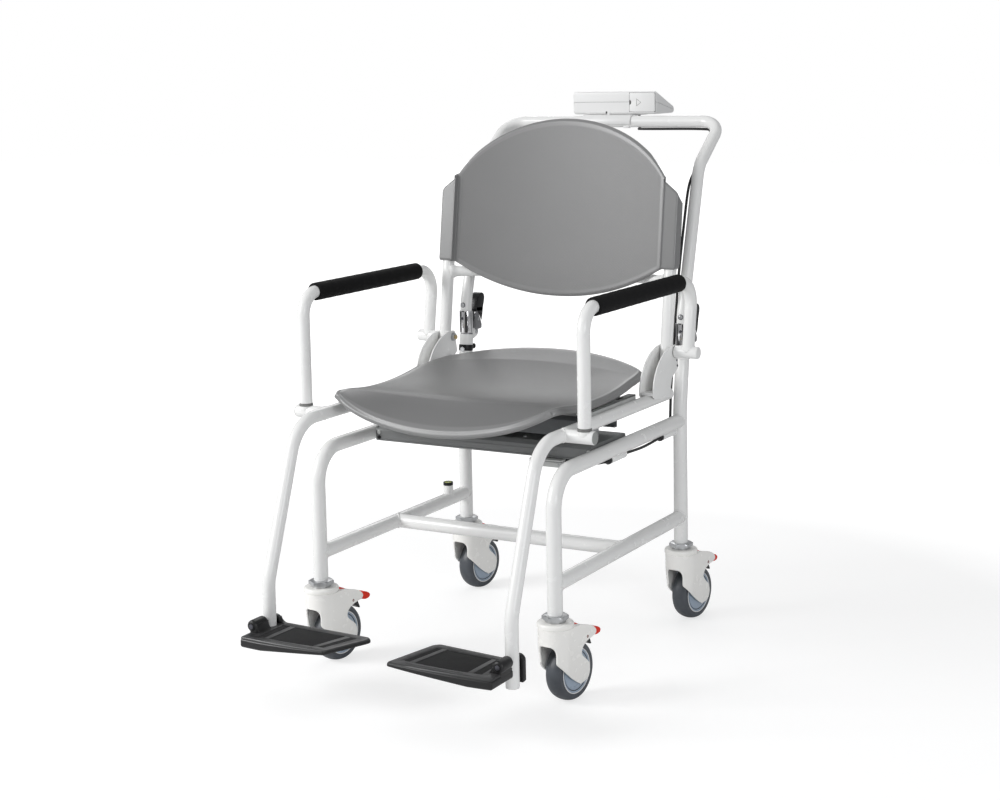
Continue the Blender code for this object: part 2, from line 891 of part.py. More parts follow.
def shellSolid(name, columns, rows, place, thickness, material):
    """A closed shell: a grid of points for the outer face, and the same points moved in."""
    mesh = bmesh.new()
    points = [[Vector(place(c / columns, r / rows)) for r in range(rows + 1)] for c in range(columns + 1)]

    def normal(c, r):
        across = points[min(c + 1, columns)][r] - points[max(c - 1, 0)][r]
        along = points[c][min(r + 1, rows)] - points[c][max(r - 1, 0)]
        return across.cross(along).normalized()

    front = [[mesh.verts.new(points[c][r]) for r in range(rows + 1)] for c in range(columns + 1)]
    back = [
        [mesh.verts.new(points[c][r] - normal(c, r) * thickness) for r in range(rows + 1)]
        for c in range(columns + 1)
    ]
    for c in range(columns):
        for r in range(rows):
            mesh.faces.new((front[c][r], front[c + 1][r], front[c + 1][r + 1], front[c][r + 1]))
            mesh.faces.new((back[c][r], back[c][r + 1], back[c + 1][r + 1], back[c + 1][r]))
    rim = [(c, 0) for c in range(columns)] + [(columns, r) for r in range(rows)]
    rim += [(c, rows) for c in range(columns, 0, -1)] + [(0, r) for r in range(rows, 0, -1)]
    for (c1, r1), (c2, r2) in zip(rim, rim[1:] + rim[:1]):
        mesh.faces.new((front[c1][r1], front[c2][r2], back[c2][r2], back[c1][r1]))
    return smooth(finish(name, mesh, material))


def seatPlace(acrossShare, alongShare):
    """A point on the seat's upper face: a shallow dish with a rolled front and a rear that rises."""
    u = 2 * acrossShare - 1
    v = alongShare
    half = seatWidth / 2 * (1 - 0.09 * max(0, 1 - v / 0.35) ** 2 - 0.16 * max(0, (v - 0.8) / 0.2) ** 2)
    x = half * u
    roll = max(0, 1 - v / 0.22)
    y = pivotReach - seatDepth * (0.98 - 0.98 * v - 0.07 * u**2 * roll + 0.03 * u**4 * (1 - roll))
    dish = seatDish * (1 - u**4) * math.sin(math.pi * min(1, max(0, (v - 0.15) / 0.7)))
    rear = seatRearRise * max(0, (v - 0.5) / 0.5) ** 2 * (1 - 0.35 * u**2)
    edge = seatSideRise * u**6 * v - seatDish * 0.55 * u**6 * math.sin(math.pi * min(1, v / 0.75))
    lip = seatLipDrop * roll**1.7 * (1 - u**2)
    return x, y, seatRidge - dish + rear + edge - lip


def makeSeatShell():
    shell = shellSolid("seat_shell", 16, 13, seatPlace, shellWall, shellPlastic)
    for side, sign in sideSigns:
        middle = sign * (carrierInner() + carrierWidth / 2)
        # A rib stands on each carrier, and its upper edge follows the shell
        acrossShare = (1 + middle / (seatWidth / 2)) / 2
        outline = []
        for upShare in ribShares:
            x, y, z = seatPlace(acrossShare, upShare)
            outline.append((y, z - shellWall / 2))
        outline.append((outline[-1][0], carrierTop + clearance))
        outline.append((outline[0][0], carrierTop + clearance))
        rib = prism("rib", outline, "X", middle - seatRibWidth / 2, middle + seatRibWidth / 2, shellPlastic)
        unite(shell, rib)
    return shell


backHip = backDip + 0.064  # height of the lower corners
backBulge = 0.014
channelRadius = seatTubeRadius + clearance


def backPlace(acrossShare, upShare):
    """A point on the back's front face: it wraps from the side channels and bows a little rearwards."""
    u = 2 * acrossShare - 1
    x = backWidth / 2 * u
    low = backDip + (backHip - backDip) * abs(u) ** 2
    high = backShoulder + (backPeakHeight - backShoulder) * max(0, 1 - u**2) ** 0.8
    z = low + (high - low) * upShare
    bow = backBulge * (1 - u**2)
    return x, uprightY(z) - seatTubeRadius - shellWall + 2 * bow, z


def makeBackShell():
    """The panel, with a channel moulded down each side that the back tube stands in."""
    shell = shellSolid("back_shell", 16, 11, backPlace, -shellWall, shellPlastic)
    for side, sign in sideSigns:
        x = seatRailX(sign)
        start = Vector((x, uprightY(backHip), backHip))
        end = Vector((x, uprightY(backShoulder), backShoulder))
        channel = rod("channel", start, end, seatTubeRadius + shellWall, shellPlastic, sides=16)
        unite(shell, channel)
    for side, sign in sideSigns:
        x = seatRailX(sign)
        start = Vector((x, uprightY(backDip), backDip))
        end = Vector((x, uprightY(uprightTop + clearance), uprightTop + clearance))
        cut(shell, roundCutter(start, end, channelRadius))
    return shell


# Armrests

armRearReach = pivotReach + 0.021
armBendRadius = 0.042
armFrontRadius = 0.0385
padStart = stubAlong + 0.0405
padEnd = pivotReach - 0.042
padThickness = 0.0034
padRadius = seatTubeRadius + clearance + padThickness
padRounding = 0.003


def makeArmTube(side, sign):
    x = sign * armTrack / 2
    foot = seatRailHeight + seatTubeRadius + socketHeight + clearance
    corners = [
        (x, stubAlong, foot),
        (x, stubAlong, armHeight),
        (x, armRearReach, armHeight),
        (x, pivotReach, pivotHeight),
    ]
    path = bentPath(corners, [armFrontRadius, armBendRadius])
    arm = sweep(f"arm_tube_{side}", path, seatTubeRadius, framePaint)
    start = seatRailX(sign) + sign * (seatTubeRadius + sheet + 2 * clearance)
    barrel = rod(
        "barrel",
        (start, pivotReach, pivotHeight),
        (sign * barrelEnd, pivotReach, pivotHeight),
        barrelRadius,
        framePaint,
    )
    unite(arm, barrel)
    bore = pinCutter(
        (start - sign * cutOverrun, pivotReach, pivotHeight),
        (sign * (barrelEnd - sheet + clearance), pivotReach, pivotHeight),
        pivotRadius + pinClearance,
    )
    cut(arm, bore)
    return setPivot(arm, (x, pivotReach, pivotHeight))


def makeArmPad(side, sign):
    x = sign * armTrack / 2
    length = padEnd - padStart
    inner = seatTubeRadius + clearance
    profile = [
        (inner, 0),
        (padRadius - padRounding, 0),
        (padRadius, padRounding),
        (padRadius, length - padRounding),
        (padRadius - padRounding, length),
        (inner, length),
    ]
    pad = turned(f"arm_pad_{side}", profile, (x, padStart, armHeight), (0, 1, 0), gripFoam, sides=16)
    return setPivot(pad, (x, pivotReach, pivotHeight))


# Footplates

plateOverhang = 0.006  # of its outer edge outside the seat rail
plateOuterReach = seatTrack / 2 + plateOverhang
plateThickness = 0.018  # at the outer edge
plateTip = 0.008  # at the inner edge
plateCorner = 0.014
notchClearance = 0.0015
recessDepth = 0.0012
recessShares = ((0.04, 0.17), (0.22, 0.78), (0.83, 0.96))


def makeFootplate(side, sign):
    x = seatRailX(sign)
    front = footplateFront
    back = front + footplateDepth
    outer = sign * plateOuterReach
    inner = outer - sign * footplateWidth
    top = footplateHeight
    rounding = []
    for reachOut, along, start in (
        (plateOuterReach - plateCorner, front + plateCorner, -90),
        (plateOuterReach - plateCorner, back - plateCorner, 0),
        (plateOuterReach - footplateWidth + plateCorner, back - plateCorner, 90),
        (plateOuterReach - footplateWidth + plateCorner, front + plateCorner, 180),
    ):
        rounding += arc((reachOut, along), plateCorner, start, start + 90, 3)
    outline = [(sign * reachOut, along) for reachOut, along in rounding]
    plate = prism(f"footplate_{side}", outline, "Z", top - plateThickness, top, footPlastic)
    # The underside tapers towards the inner edge
    wedge = [
        (outer - sign * footplateWidth / 3, top - plateThickness),
        (inner - sign * cutOverrun, top - plateTip),
        (inner - sign * cutOverrun, top - plateThickness - cutOverrun),
        (outer - sign * footplateWidth / 3, top - plateThickness - cutOverrun),
    ]
    cut(plate, prism("wedge", wedge, "Y", front - cutOverrun, back + cutOverrun, footPlastic))
    # Three sunk panels for the treads
    span = footplateWidth - 2 * plateCorner
    for low, high in recessShares:
        first = outer - sign * (plateCorner + low * span)
        second = outer - sign * (plateCorner + high * span)
        lowX, highX = sorted((first, second))
        frontShare = 0.14
        if abs(second) > abs(x) - seatTubeRadius - plateCorner:
            continue
        panel = block(
            "panel",
            (lowX, front + frontShare * footplateDepth, top - recessDepth),
            (highX, back - frontShare * footplateDepth, top + cutOverrun),
            footPlastic,
        )
        cut(plate, panel)
    # A boss ahead of the hanger and a lug behind it carry the hinge pin
    reach = seatTubeRadius + 2 * notchClearance
    boss = rod(
        "boss",
        (x, hangerFootReach - reach - bossLength + notchClearance, hingePinHeight),
        (x, hangerFootReach - reach, hingePinHeight),
        bossRadius,
        footPlastic,
    )
    pier = block(
        "pier",
        (x - bossRadius * 0.8, hangerFootReach - reach - bossLength + notchClearance, top - plateTip),
        (x + bossRadius * 0.8, hangerFootReach - reach, hingePinHeight),
        footPlastic,
    )
    lugOutline = [
        (x - sign * 3 * bossRadius, top - sheet),
        *(
            (x + sign * shiftX, hingePinHeight + rise)
            for shiftX, rise in arc((0, 0), bossRadius, 150, -20, 6)
        ),
        (x + sign * bossRadius * 0.9, top - plateThickness),
        (x - sign * 3 * bossRadius, top - plateThickness),
    ]
    lugStart = hangerFootReach + reach
    lug = prism("lug", lugOutline, "Y", lugStart, lugStart + lugDepth, footPlastic)
    unite(plate, boss, pier, lug)
    notchLow, notchHigh = sorted(
        (x - sign * (seatTubeRadius + notchClearance), outer + sign * 4 * cutOverrun)
    )
    notch = block(
        "notch",
        (notchLow, hangerFootReach - reach, top - plateThickness - cutOverrun),
        (notchHigh, hangerFootReach + reach, hingePinHeight + 3 * bossRadius),
        footPlastic,
    )
    bore = pinCutter(
        (x, hangerFootReach - reach - 2 * bossLength, hingePinHeight),
        (x, lugStart + 2 * lugDepth, hingePinHeight),
        hingePinRadius + pinClearance,
    )
    cut(plate, notch, bore)
    return setPivot(plate, (x, hangerFootReach, hingePinHeight))


# Push handle with its fold hinges

sleeveGap = 0.0035  # of the sleeve above the rear leg
sleeveFoot = rearLegTop + sleeveGap
sleeveTop = sleeveFoot + 0.0425
sleeveWall = 0.0015
handleKink = sleeveTop + 0.014
kinkRadius = 0.080
elbowReach = handleReach - 0.107
elbowHeight = handleHeight - 0.078
elbowRadius = 0.060
cornerRadius = 0.040
spineThickness = 0.0052
leverPinReach = foldReach + 0.003
leverPinHeight = foldHeight + 0.024
leverPinRadius = 0.002
leverWidth = 0.019
leverSwing = 0.0043  # room for its foot behind the lugs
leverTop = leverPinHeight + 0.051


def foldPivot(sign):
    return (legX(sign), foldReach, foldHeight)


def makePushHandle():
    def half(sign):
        x = legX(sign)
        return [
            (x, hingeReach, sleeveFoot + clearance),
            (x, hingeReach, handleKink),
            (x, elbowReach, elbowHeight),
            (x, handleReach, handleHeight),
        ]

    corners = half(-1) + half(1)[::-1]
    radii = [kinkRadius, elbowRadius, cornerRadius, cornerRadius, elbowRadius, kinkRadius]
    handle = sweep(
        "push_handle", bentPath(corners, radii), seatTubeRadius, framePaint, seatTubeRadius - tubeWall
    )
    return setPivot(handle, (0, foldReach, foldHeight))


def makeFoldSleeve(side, sign):
    """A slotted chromed sleeve round the handle's foot, with a spine that turns on the fold pin."""
    x = legX(sign)
    height = sleeveTop - sleeveFoot
    inner = seatTubeRadius + clearance
    outer = inner + sleeveWall
    profile = [(inner, 0), (outer, 0), (outer, height), (inner, height)]
    sleeve = turned(
        f"fold_sleeve_{side}", profile, (x, hingeReach, sleeveFoot), (0, 0, 1), chromedSteel, sides=18
    )
    slotMargin = height / 6
    slot = block(
        "slot",
        (x - outer / 6, hingeReach - outer - cutOverrun, sleeveFoot + slotMargin),
        (x + outer / 6, hingeReach - inner / 2, sleeveTop - slotMargin),
        chromedSteel,
    )
    cut(sleeve, slot)
    root = hingeReach + inner + clearance
    spineTop = sleeveTop - sleeveWall
    spineBack = leverPinReach + lugRadius * 0.8
    outline = [
        (root, sleeveFoot + sleeveWall),
        (foldReach - lugRadius, sleeveFoot + clearance),
        *arc((foldReach, foldHeight), lugRadius - clearance, 190, 360, 7),
        (spineBack, leverPinHeight - lugRadius),
        (spineBack, leverPinHeight + lugRadius),
        (root, spineTop),
    ]
    spine = prism("spine", outline, "X", x - spineThickness / 2, x + spineThickness / 2, chromedSteel)
    unite(sleeve, spine)
    foldBore = pinCutter(
        (x - lugRadius, foldReach, foldHeight),
        (x + lugRadius, foldReach, foldHeight),
        foldPinRadius + pinClearance,
    )
    cut(sleeve, foldBore)
    pinReach = leverWidth / 2 - sleeveWall
    leverPin = rod(
        "pin",
        (x - pinReach, leverPinReach, leverPinHeight),
        (x + pinReach, leverPinReach, leverPinHeight),
        leverPinRadius,
        chromedSteel,
        sides=10,
    )
    unite(sleeve, leverPin)
    return setPivot(sleeve, foldPivot(sign))


leverBackShares = ((0.0, 0.60), (0.20, 0.64), (0.47, 0.62), (0.66, 0.78), (0.92, 1.0), (1.0, 0.86))
leverFrontShares = ((0.96, 0.50), (0.62, 0.36), (0.40, 0.02), (0.0, 0.02))


def makeReleaseLever(side, sign):
    """A hooked black lever that straddles the spine. Its slot widens at the foot round the hinge lugs."""
    x = legX(sign)
    foot = foldHeight + 0.5 * lugRadius
    front = hingeReach + baseRadius + 5 * sleeveWall
    depth = leverTop - foot
    reach = 2.0 * leverWidth
    outline = [
        (front + alongShare * reach, foot + upShare * depth) for upShare, alongShare in leverBackShares
    ]
    outline += [
        (front + alongShare * reach, foot + upShare * depth) for upShare, alongShare in leverFrontShares
    ]
    lever = prism(
        f"release_lever_{side}", outline, "X", x - leverWidth / 2, x + leverWidth / 2, leverPlastic
    )
    slotHalf = spineThickness / 2 + 2 * pinClearance
    slotTop = sleeveTop + cutOverrun
    slot = block(
        "slot",
        (x - slotHalf, front - reach, foot - cutOverrun),
        (x + slotHalf, leverPinReach + 1.6 * lugRadius, slotTop),
        leverPlastic,
    )
    wideHalf = lugSpread + lugThickness + 2 * pinClearance
    wide = block(
        "wide",
        (x - wideHalf, front - reach, foot - cutOverrun),
        (x + wideHalf, foldReach + lugRadius + leverSwing, foldHeight + 1.25 * lugRadius),
        leverPlastic,
    )
    bore = pinCutter(
        (x - leverWidth, leverPinReach, leverPinHeight),
        (x + leverWidth, leverPinReach, leverPinHeight),
        leverPinRadius + pinClearance,
    )
    cut(lever, slot, wide, bore)
    return setPivot(lever, (x, leverPinReach, leverPinHeight))


# Indicator on the handle bar

saddleSheet = 0.002
saddleLeft = 0.045
saddleRight = -0.060
caseHeight = 0.046
caseLow = 0.013  # height of its far face
seamDrop = 0.022
caseRounding = 0.003
screenWidth = 0.109
screenLength = 0.040
screenThickness = 0.0016
keyWidth = 0.0180
keyLength = 0.0150
keyHeight = 0.0040
keyProud = 0.0010
keyTravel = 0.0005
keyPitch = 0.0224
doorWidth = 0.058
doorHeight = 0.038
doorThickness = 0.002


def saddleTop():
    return handleHeight + seatTubeRadius + clearance + saddleSheet


def makeIndicatorBracket():
    """A pressed saddle that hooks over the bar from the front and carries the case on its flat."""
    inner = seatTubeRadius + clearance
    outer = inner + saddleSheet
    bar = (handleReach, handleHeight)
    flatEnd = handleReach + caseLead + 0.7 * caseDepth
    outline = [
        *arc(bar, outer, 200, 90, 8),
        (flatEnd, handleHeight + outer),
        (flatEnd, handleHeight + inner),
        *arc(bar, inner, 90, 200, 8),
    ]
    bracket = prism("indicator_bracket", outline, "X", saddleRight, saddleLeft, caseWhite)
    return setPivot(bracket, (0, foldReach, foldHeight))


def casePoints():
    front = handleReach + caseLead
    bottom = saddleTop() + clearance
    back = front + caseDepth
    return front, back, bottom


def caseFace(across, downFace, above):
    """A place on the display face: across it, down from its upper edge, and out along its normal."""
    front, back, bottom = casePoints()
    tilt = math.atan2(caseHeight - caseLow, caseDepth)
    down = Vector((0, math.cos(tilt), -math.sin(tilt)))
    out = Vector((0, math.sin(tilt), math.cos(tilt)))
    return Vector((across, front, bottom + caseHeight)) + down * downFace + out * above


def faceBlock(name, across, downFace, width, length, low, high, material):
    """A box laid on the display face, between two heights along its normal."""
    tilt = math.atan2(caseHeight - caseLow, caseDepth)
    made = block(name, (-width / 2, -length / 2, low), (width / 2, length / 2, high), material)
    turn = Matrix.Rotation(-tilt, 4, "X")
    made.data.transform(Matrix.Translation(caseFace(across, downFace, 0)) @ turn)
    return made


def roundedCase(name, outline, material):
    """A case half, with its long and upright edges softened."""
    half = indicatorWidth / 2
    made = prism(name, outline, "X", -half, half, material)
    mesh = bmesh.new()
    mesh.from_mesh(made.data)
    ends = [edge for edge in mesh.edges if all(abs(abs(v.co.x) - half) < clearance for v in edge.verts)]
    bmesh.ops.bevel(mesh, geom=ends, offset=caseRounding, segments=2, profile=0.5, affect="EDGES")
    mesh.to_mesh(made.data)
    mesh.free()
    return smooth(made)


screenPlace = 0.0400  # of the screen's centre down the face
keyPlace = 0.0765


def keyCentres():
    return [keyPitch * (2 - index) for index in range(5)]


def doorPocket():
    """Where the battery door lies on the case's front face, open to the left side."""
    front, back, bottom = casePoints()
    low = (indicatorWidth / 2 - doorWidth, front - cutOverrun, bottom + (caseHeight - doorHeight) / 2)
    high = (indicatorWidth / 2 + cutOverrun, front + doorThickness + clearance, low[2] + doorHeight)
    return low, high


def makeIndicatorCase():
    front, back, bottom = casePoints()
    top = bottom + caseHeight
    seamFront = top - seamDrop
    seamBack = bottom + caseLow * 0.45
    lower = roundedCase(
        "indicator_back",
        [(front, bottom), (back, bottom), (back, seamBack - clearance), (front, seamFront - clearance)],
        caseWhite,
    )
    upper = roundedCase(
        "indicator_front",
        [(front, seamFront), (back, seamBack), (back, bottom + caseLow), (front, top)],
        caseWhite,
    )
    for half in (lower, upper):
        low, high = doorPocket()
        cut(half, block("pocket", low, high, caseWhite))
    screenPocket = faceBlock(
        "pocket",
        0,
        screenPlace,
        screenWidth + 2 * clearance,
        screenLength + 2 * clearance,
        -screenThickness - clearance,
        cutOverrun,
        caseWhite,
    )
    cut(upper, screenPocket)
    for across in keyCentres():
        keyPocket = faceBlock(
            "pocket",
            across,
            keyPlace,
            keyWidth + 2 * pinClearance,
            keyLength + 2 * pinClearance,
            keyProud - keyHeight - keyTravel - clearance,
            cutOverrun,
            caseWhite,
        )
        cut(upper, keyPocket)
    for half in (lower, upper):
        setPivot(half, (0, foldReach, foldHeight))
    screen = faceBlock(
        "display_window", 0, screenPlace, screenWidth, screenLength, -screenThickness, 0, screenGlass
    )
    setPivot(screen, (0, foldReach, foldHeight))
    for index, across in enumerate(keyCentres()):
        key = faceBlock(
            f"key_{index + 1}",
            across,
            keyPlace,
            keyWidth,
            keyLength,
            keyProud - keyHeight,
            keyProud,
            keyPlastic,
        )
        setPivot(key, caseFace(across, keyPlace, 0))


def makeBatteryDoor():
    low, high = doorPocket()
    front, back, bottom = casePoints()
    door = block(
        "battery_door",
        (low[0] + clearance, front, low[2] + clearance),
        (indicatorWidth / 2 - caseRounding, front + doorThickness, high[2] - clearance),
        caseWhite,
    )
    return setPivot(door, (indicatorWidth / 2, front, (low[2] + high[2]) / 2))


# Cables, which are held along the frame for their whole length

# The first list starts from the rear legs at the base rail, and the second from the fold pins
cableSpacing = 3 * 2 * cableRadius
frameCablePoints = (
    (0.1720, -0.3250, -0.0189),
    (0.1860, -0.3250, -0.0188),
    (0.2060, -0.3240, -0.0178),
    (0.2190, -0.3205, -0.0168),
    (0.2270, -0.3130, -0.0159),
    (0.2298, -0.3030, -0.0156),
    (0.2300, -0.2910, -0.0156),
    (0.2300, -0.2410, -0.0156),
    (0.2300, -0.2290, -0.0160),
    (0.2300, -0.1590, -0.0188),
    (0.2300, -0.0960, -0.0160),
    (0.2300, -0.0840, -0.0156),
    (0.2300, -0.0290, -0.0156),
    (0.2275, -0.0210, -0.0172),
    (0.2200, -0.0135, -0.0164),
    (0.2142, -0.0090, -0.0060),
    (0.2136, -0.0065, 0.0160),
    (0.2136, -0.0035, 0.0500),
    (0.2136, 0.0030, 0.0900),
    (0.2136, 0.0110, 0.1310),
)
handleCablePoints = (
    (0.2140, -0.0310, -0.0010),
    (0.2140, -0.0290, 0.0280),
    (0.2145, -0.0240, 0.0580),
    (0.2158, -0.0135, 0.1260),
    (0.2158, 0.0140, 0.2260),
    (0.2158, 0.0400, 0.3040),
    (0.2150, 0.0620, 0.3360),
    (0.2110, 0.1050, 0.3660),
    (0.2010, 0.1400, 0.3845),
    (0.1830, 0.1560, 0.3895),
    (0.1500, 0.1575, 0.3898),
    (0.0700, 0.1575, 0.3898),
    (0.0570, 0.1650, 0.3908),
    (0.0520, 0.1730, 0.4000),
    (0.0510, 0.1750, 0.4160),
)


def smoothRoute(points):
    """A smooth route through chosen points, as even steps of about the cable's spacing."""
    places = [Vector(point) for point in points]
    places = [2 * places[0] - places[1], *places, 2 * places[-1] - places[-2]]
    route = []
    for p0, p1, p2, p3 in zip(places, places[1:], places[2:], places[3:]):
        steps = max(1, round((p2 - p1).length / cableSpacing))
        for step in range(steps):
            t = step / steps
            pull = (p2 - p0) * t
            pull += (2 * p0 - 5 * p1 + 4 * p2 - p3) * t * t
            pull += (3 * p1 - p0 - 3 * p2 + p3) * t**3
            route.append(p1 + 0.5 * pull)
    route.append(places[-2])
    return route


def makeCable(name, points, foot):
    """A cable as a bevelled curve with closed ends, whose points are given from its foot."""
    curve = bpy.data.curves.new(name, "CURVE")
    curve.dimensions = "3D"
    curve.bevel_depth = cableRadius
    curve.bevel_resolution = 2
    curve.render_resolution_u = 0
    curve.use_fill_caps = True
    route = smoothRoute(points)
    spline = curve.splines.new("POLY")
    spline.points.add(len(route) - 1)
    for place, point in zip(spline.points, route):
        place.co = (*point, 1)
    curve.materials.append(cableSheath)
    cable = bpy.data.objects.new(name, curve)
    bpy.context.collection.objects.link(cable)
    cable.parent = chair
    cable.location = foot
    return cable


# Casters

stemBore = stemRadius + pinClearance
housingRadius = 0.0295
housingRounding = 0.004
housingSkirt = 0.052  # height of the barrel's lower edge
flankOut = 0.022
flankIn = 0.0172
wheelGap = 0.003  # over the tyre
axleRadius = 0.004
hubRadius = 0.034
hubSink = 0.003
treadRounding = 0.006
pedalOverhang = 0.026  # of its tip behind the tyre
pedalReach = casterTrail + wheelDiameter / 2 + pedalOverhang
pedalWidth = 0.0165
pedalPivotShares = (0.41, 0.825)
# Outline of the housing's flank and of the pedal: shares of the pedal's reach and of the caster's height
flankShares = (
    (-0.245, 0.70), (-0.225, 0.575), (-0.06, 0.485), (0.04, 0.41), (0.21, 0.285), (0.30, 0.245), (
        0.43, 0.265
    ),
    (0.52, 0.37), (0.50, 0.485), (0.36, 0.595), (0.325, 0.665), (0.40, 0.755), (0.50, 0.785), (0.63, 0.79),
    (0.645, 0.85), (0.62, 0.915), (0.40, 0.955), (0.16, 0.985), (-0.10, 0.985), (-0.24, 0.95),
)
pedalShares = (
    (0.27, 0.955), (0.42, 0.945), (0.64, 0.905), (0.80, 0.86), (0.94, 0.825), (1.0, 0.79), (0.98, 0.745),
    (0.90, 0.705), (0.80, 0.715), (0.76, 0.66), (0.70, 0.655), (0.655, 0.74), (0.45, 0.80), (0.36, 0.83),
    (0.29, 0.90),
)


def heading():
    """The level direction from a stem to its wheel."""
    return Vector((-math.sin(casterYaw), math.cos(casterYaw), 0))


def turnCaster(made, stem):
    """Places a piece made at the origin, looking straight back, on its stem."""
    made.data.transform(Matrix.Translation(Vector(stem)) @ Matrix.Rotation(casterYaw, 4, "Z"))
    return made


def shaped(shares):
    return [(along * pedalReach, up * casterHeight) for along, up in shares]


def makeHousing(name, stem):
    profile = [
        (0, housingSkirt),
        (housingRadius, housingSkirt),
        (housingRadius, casterHeight - housingRounding),
        (housingRadius - housingRounding / 2, casterHeight - housingRounding / 4),
        (housingRadius - housingRounding, casterHeight),
        (0, casterHeight),
    ]
    housing = turned(name, profile, (0, 0, 0), (0, 0, 1), casterPlastic, sides=20)
    flank = prism("flank", shaped(flankShares), "X", -flankOut, flankOut, casterPlastic)
    # The barrel's front is cut back below the cap, to the line of the flanks
    under = [
        (-2 * housingRadius, 0),
        (-2 * housingRadius, flankShares[0][1] * casterHeight),
        *shaped(flankShares[:5]),
        (housingRadius + cutOverrun, flankShares[5][1] * casterHeight),
        (housingRadius + cutOverrun, 0),
    ]
    cut(housing, prism("under", under, "X", -2 * housingRadius, 2 * housingRadius, casterPlastic))
    unite(housing, flank)
    wheelTop = wheelDiameter + wheelGap
    slot = block(
        "slot",
        (-flankIn, -2 * housingRadius, -cutOverrun),
        (flankIn, 2 * pedalReach, wheelTop),
        casterPlastic,
    )
    cut(housing, slot)
    # The pedal lies in a trough between the ears
    pedalHalf = pedalWidth / 2 + 2 * pinClearance
    trough = prism(
        "trough",
        [
            (0.24 * pedalReach, casterHeight + cutOverrun),
            (0.24 * pedalReach, 0.86 * casterHeight),
            (0.33 * pedalReach, 0.77 * casterHeight),
            (0.33 * pedalReach, 0.70 * casterHeight),
            (1.2 * pedalReach, 0.60 * casterHeight),
            (1.2 * pedalReach, casterHeight + cutOverrun),
        ],
        "X",
        -pedalHalf,
        pedalHalf,
        casterPlastic,
    )
    cut(housing, trough)
    cut(housing, pinCutter((0, 0, casterHeight - stemLength - sheet), (0, 0, 2 * casterHeight), stemBore))
    axle = rod(
        "axle",
        (-flankIn - sheet / 2, casterTrail, wheelDiameter / 2),
        (flankIn + sheet / 2, casterTrail, wheelDiameter / 2),
        axleRadius,
        casterPlastic,
        sides=12,
    )
    pivotAlong, pivotUp = shaped([pedalPivotShares])[0]
    pedalPin = rod(
        "pin",
        (-flankIn - sheet / 2, pivotAlong, pivotUp),
        (flankIn + sheet / 2, pivotAlong, pivotUp),
        leverPinRadius,
        casterPlastic,
        sides=10,
    )
    unite(housing, axle, pedalPin)
    return setPivot(turnCaster(housing, stem), stem)


def makeWheel(name, stem):
    """Tyre and hub turned as one, with the hub's face sunk inside the rim."""
    half = wheelWidth / 2
    rim = wheelDiameter / 2
    bore = axleRadius + pinClearance
    face = half - hubSink
    profile = [
        (bore, -face),
        (hubRadius, -face),
        (hubRadius + hubSink, -half),
        (rim - treadRounding, -half),
        (rim, -half + treadRounding),
        (rim, half - treadRounding),
        (rim - treadRounding, half),
        (hubRadius + hubSink, half),
        (hubRadius, face),
        (bore, face),
    ]
    wheel = turned(name, profile, (0, casterTrail, rim), (1, 0, 0), treadRubber, sides=22)
    axle = Vector(stem) + heading() * casterTrail + Vector((0, 0, rim))
    return setPivot(turnCaster(wheel, stem), axle)


def makePedal(name, stem):
    """The red pedal, with the shoe that it presses on the tyre."""
    pedal = prism(name, shaped(pedalShares), "X", -pedalWidth / 2, pedalWidth / 2, pedalPlastic)
    pivotAlong, pivotUp = shaped([pedalPivotShares])[0]
    bore = pinCutter(
        (-pedalWidth, pivotAlong, pivotUp), (pedalWidth, pivotAlong, pivotUp), leverPinRadius + pinClearance
    )
    cut(pedal, bore)
    pivot = Vector(stem) + heading() * pivotAlong + Vector((0, 0, pivotUp))
    return setPivot(turnCaster(pedal, stem), pivot)


def build():
    for side, sign in sideSigns:
        makeFrontLeg(side, sign)
        makeRearLeg(side, sign)
        makeLowerRail(side, sign)
        makeLoadCell(side, sign)
        makeSeatRail(side, sign)
        makeSeatCarrier(side, sign)
        makeBackBracket(side, sign)
        makeBackUpright(side, sign)
        makeArmTube(side, sign)
        makeArmPad(side, sign)
        makeFootplate(side, sign)
        makeFoldSleeve(side, sign)
        makeReleaseLever(side, sign)
        for end, along in (("front", 0), ("rear", wheelBase)):
            stem = (legX(sign), along, 0)
            makeHousing(f"caster_{end}_{side}", stem)
            makeWheel(f"wheel_{end}_{side}", stem)
            makePedal(f"brake_{end}_{side}", stem)
    makeCrossBar()
    makeBubbleLevel()
    makeLoadBeam()
    makeJunctionBox()
    makeSeatBeam()
    makeBackCrossTube()
    makeSeatShell()
    makeBackShell()
    makePushHandle()
    makeIndicatorBracket()
    makeIndicatorCase()
    makeBatteryDoor()
    makeCable("frame_cable", frameCablePoints, (0, wheelBase, baseRailHeight))
    makeCable("handle_cable", handleCablePoints, (0, foldReach, foldHeight))


build()
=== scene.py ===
import math

import bmesh
import bpy
import numpy as np
from mathutils import Matrix


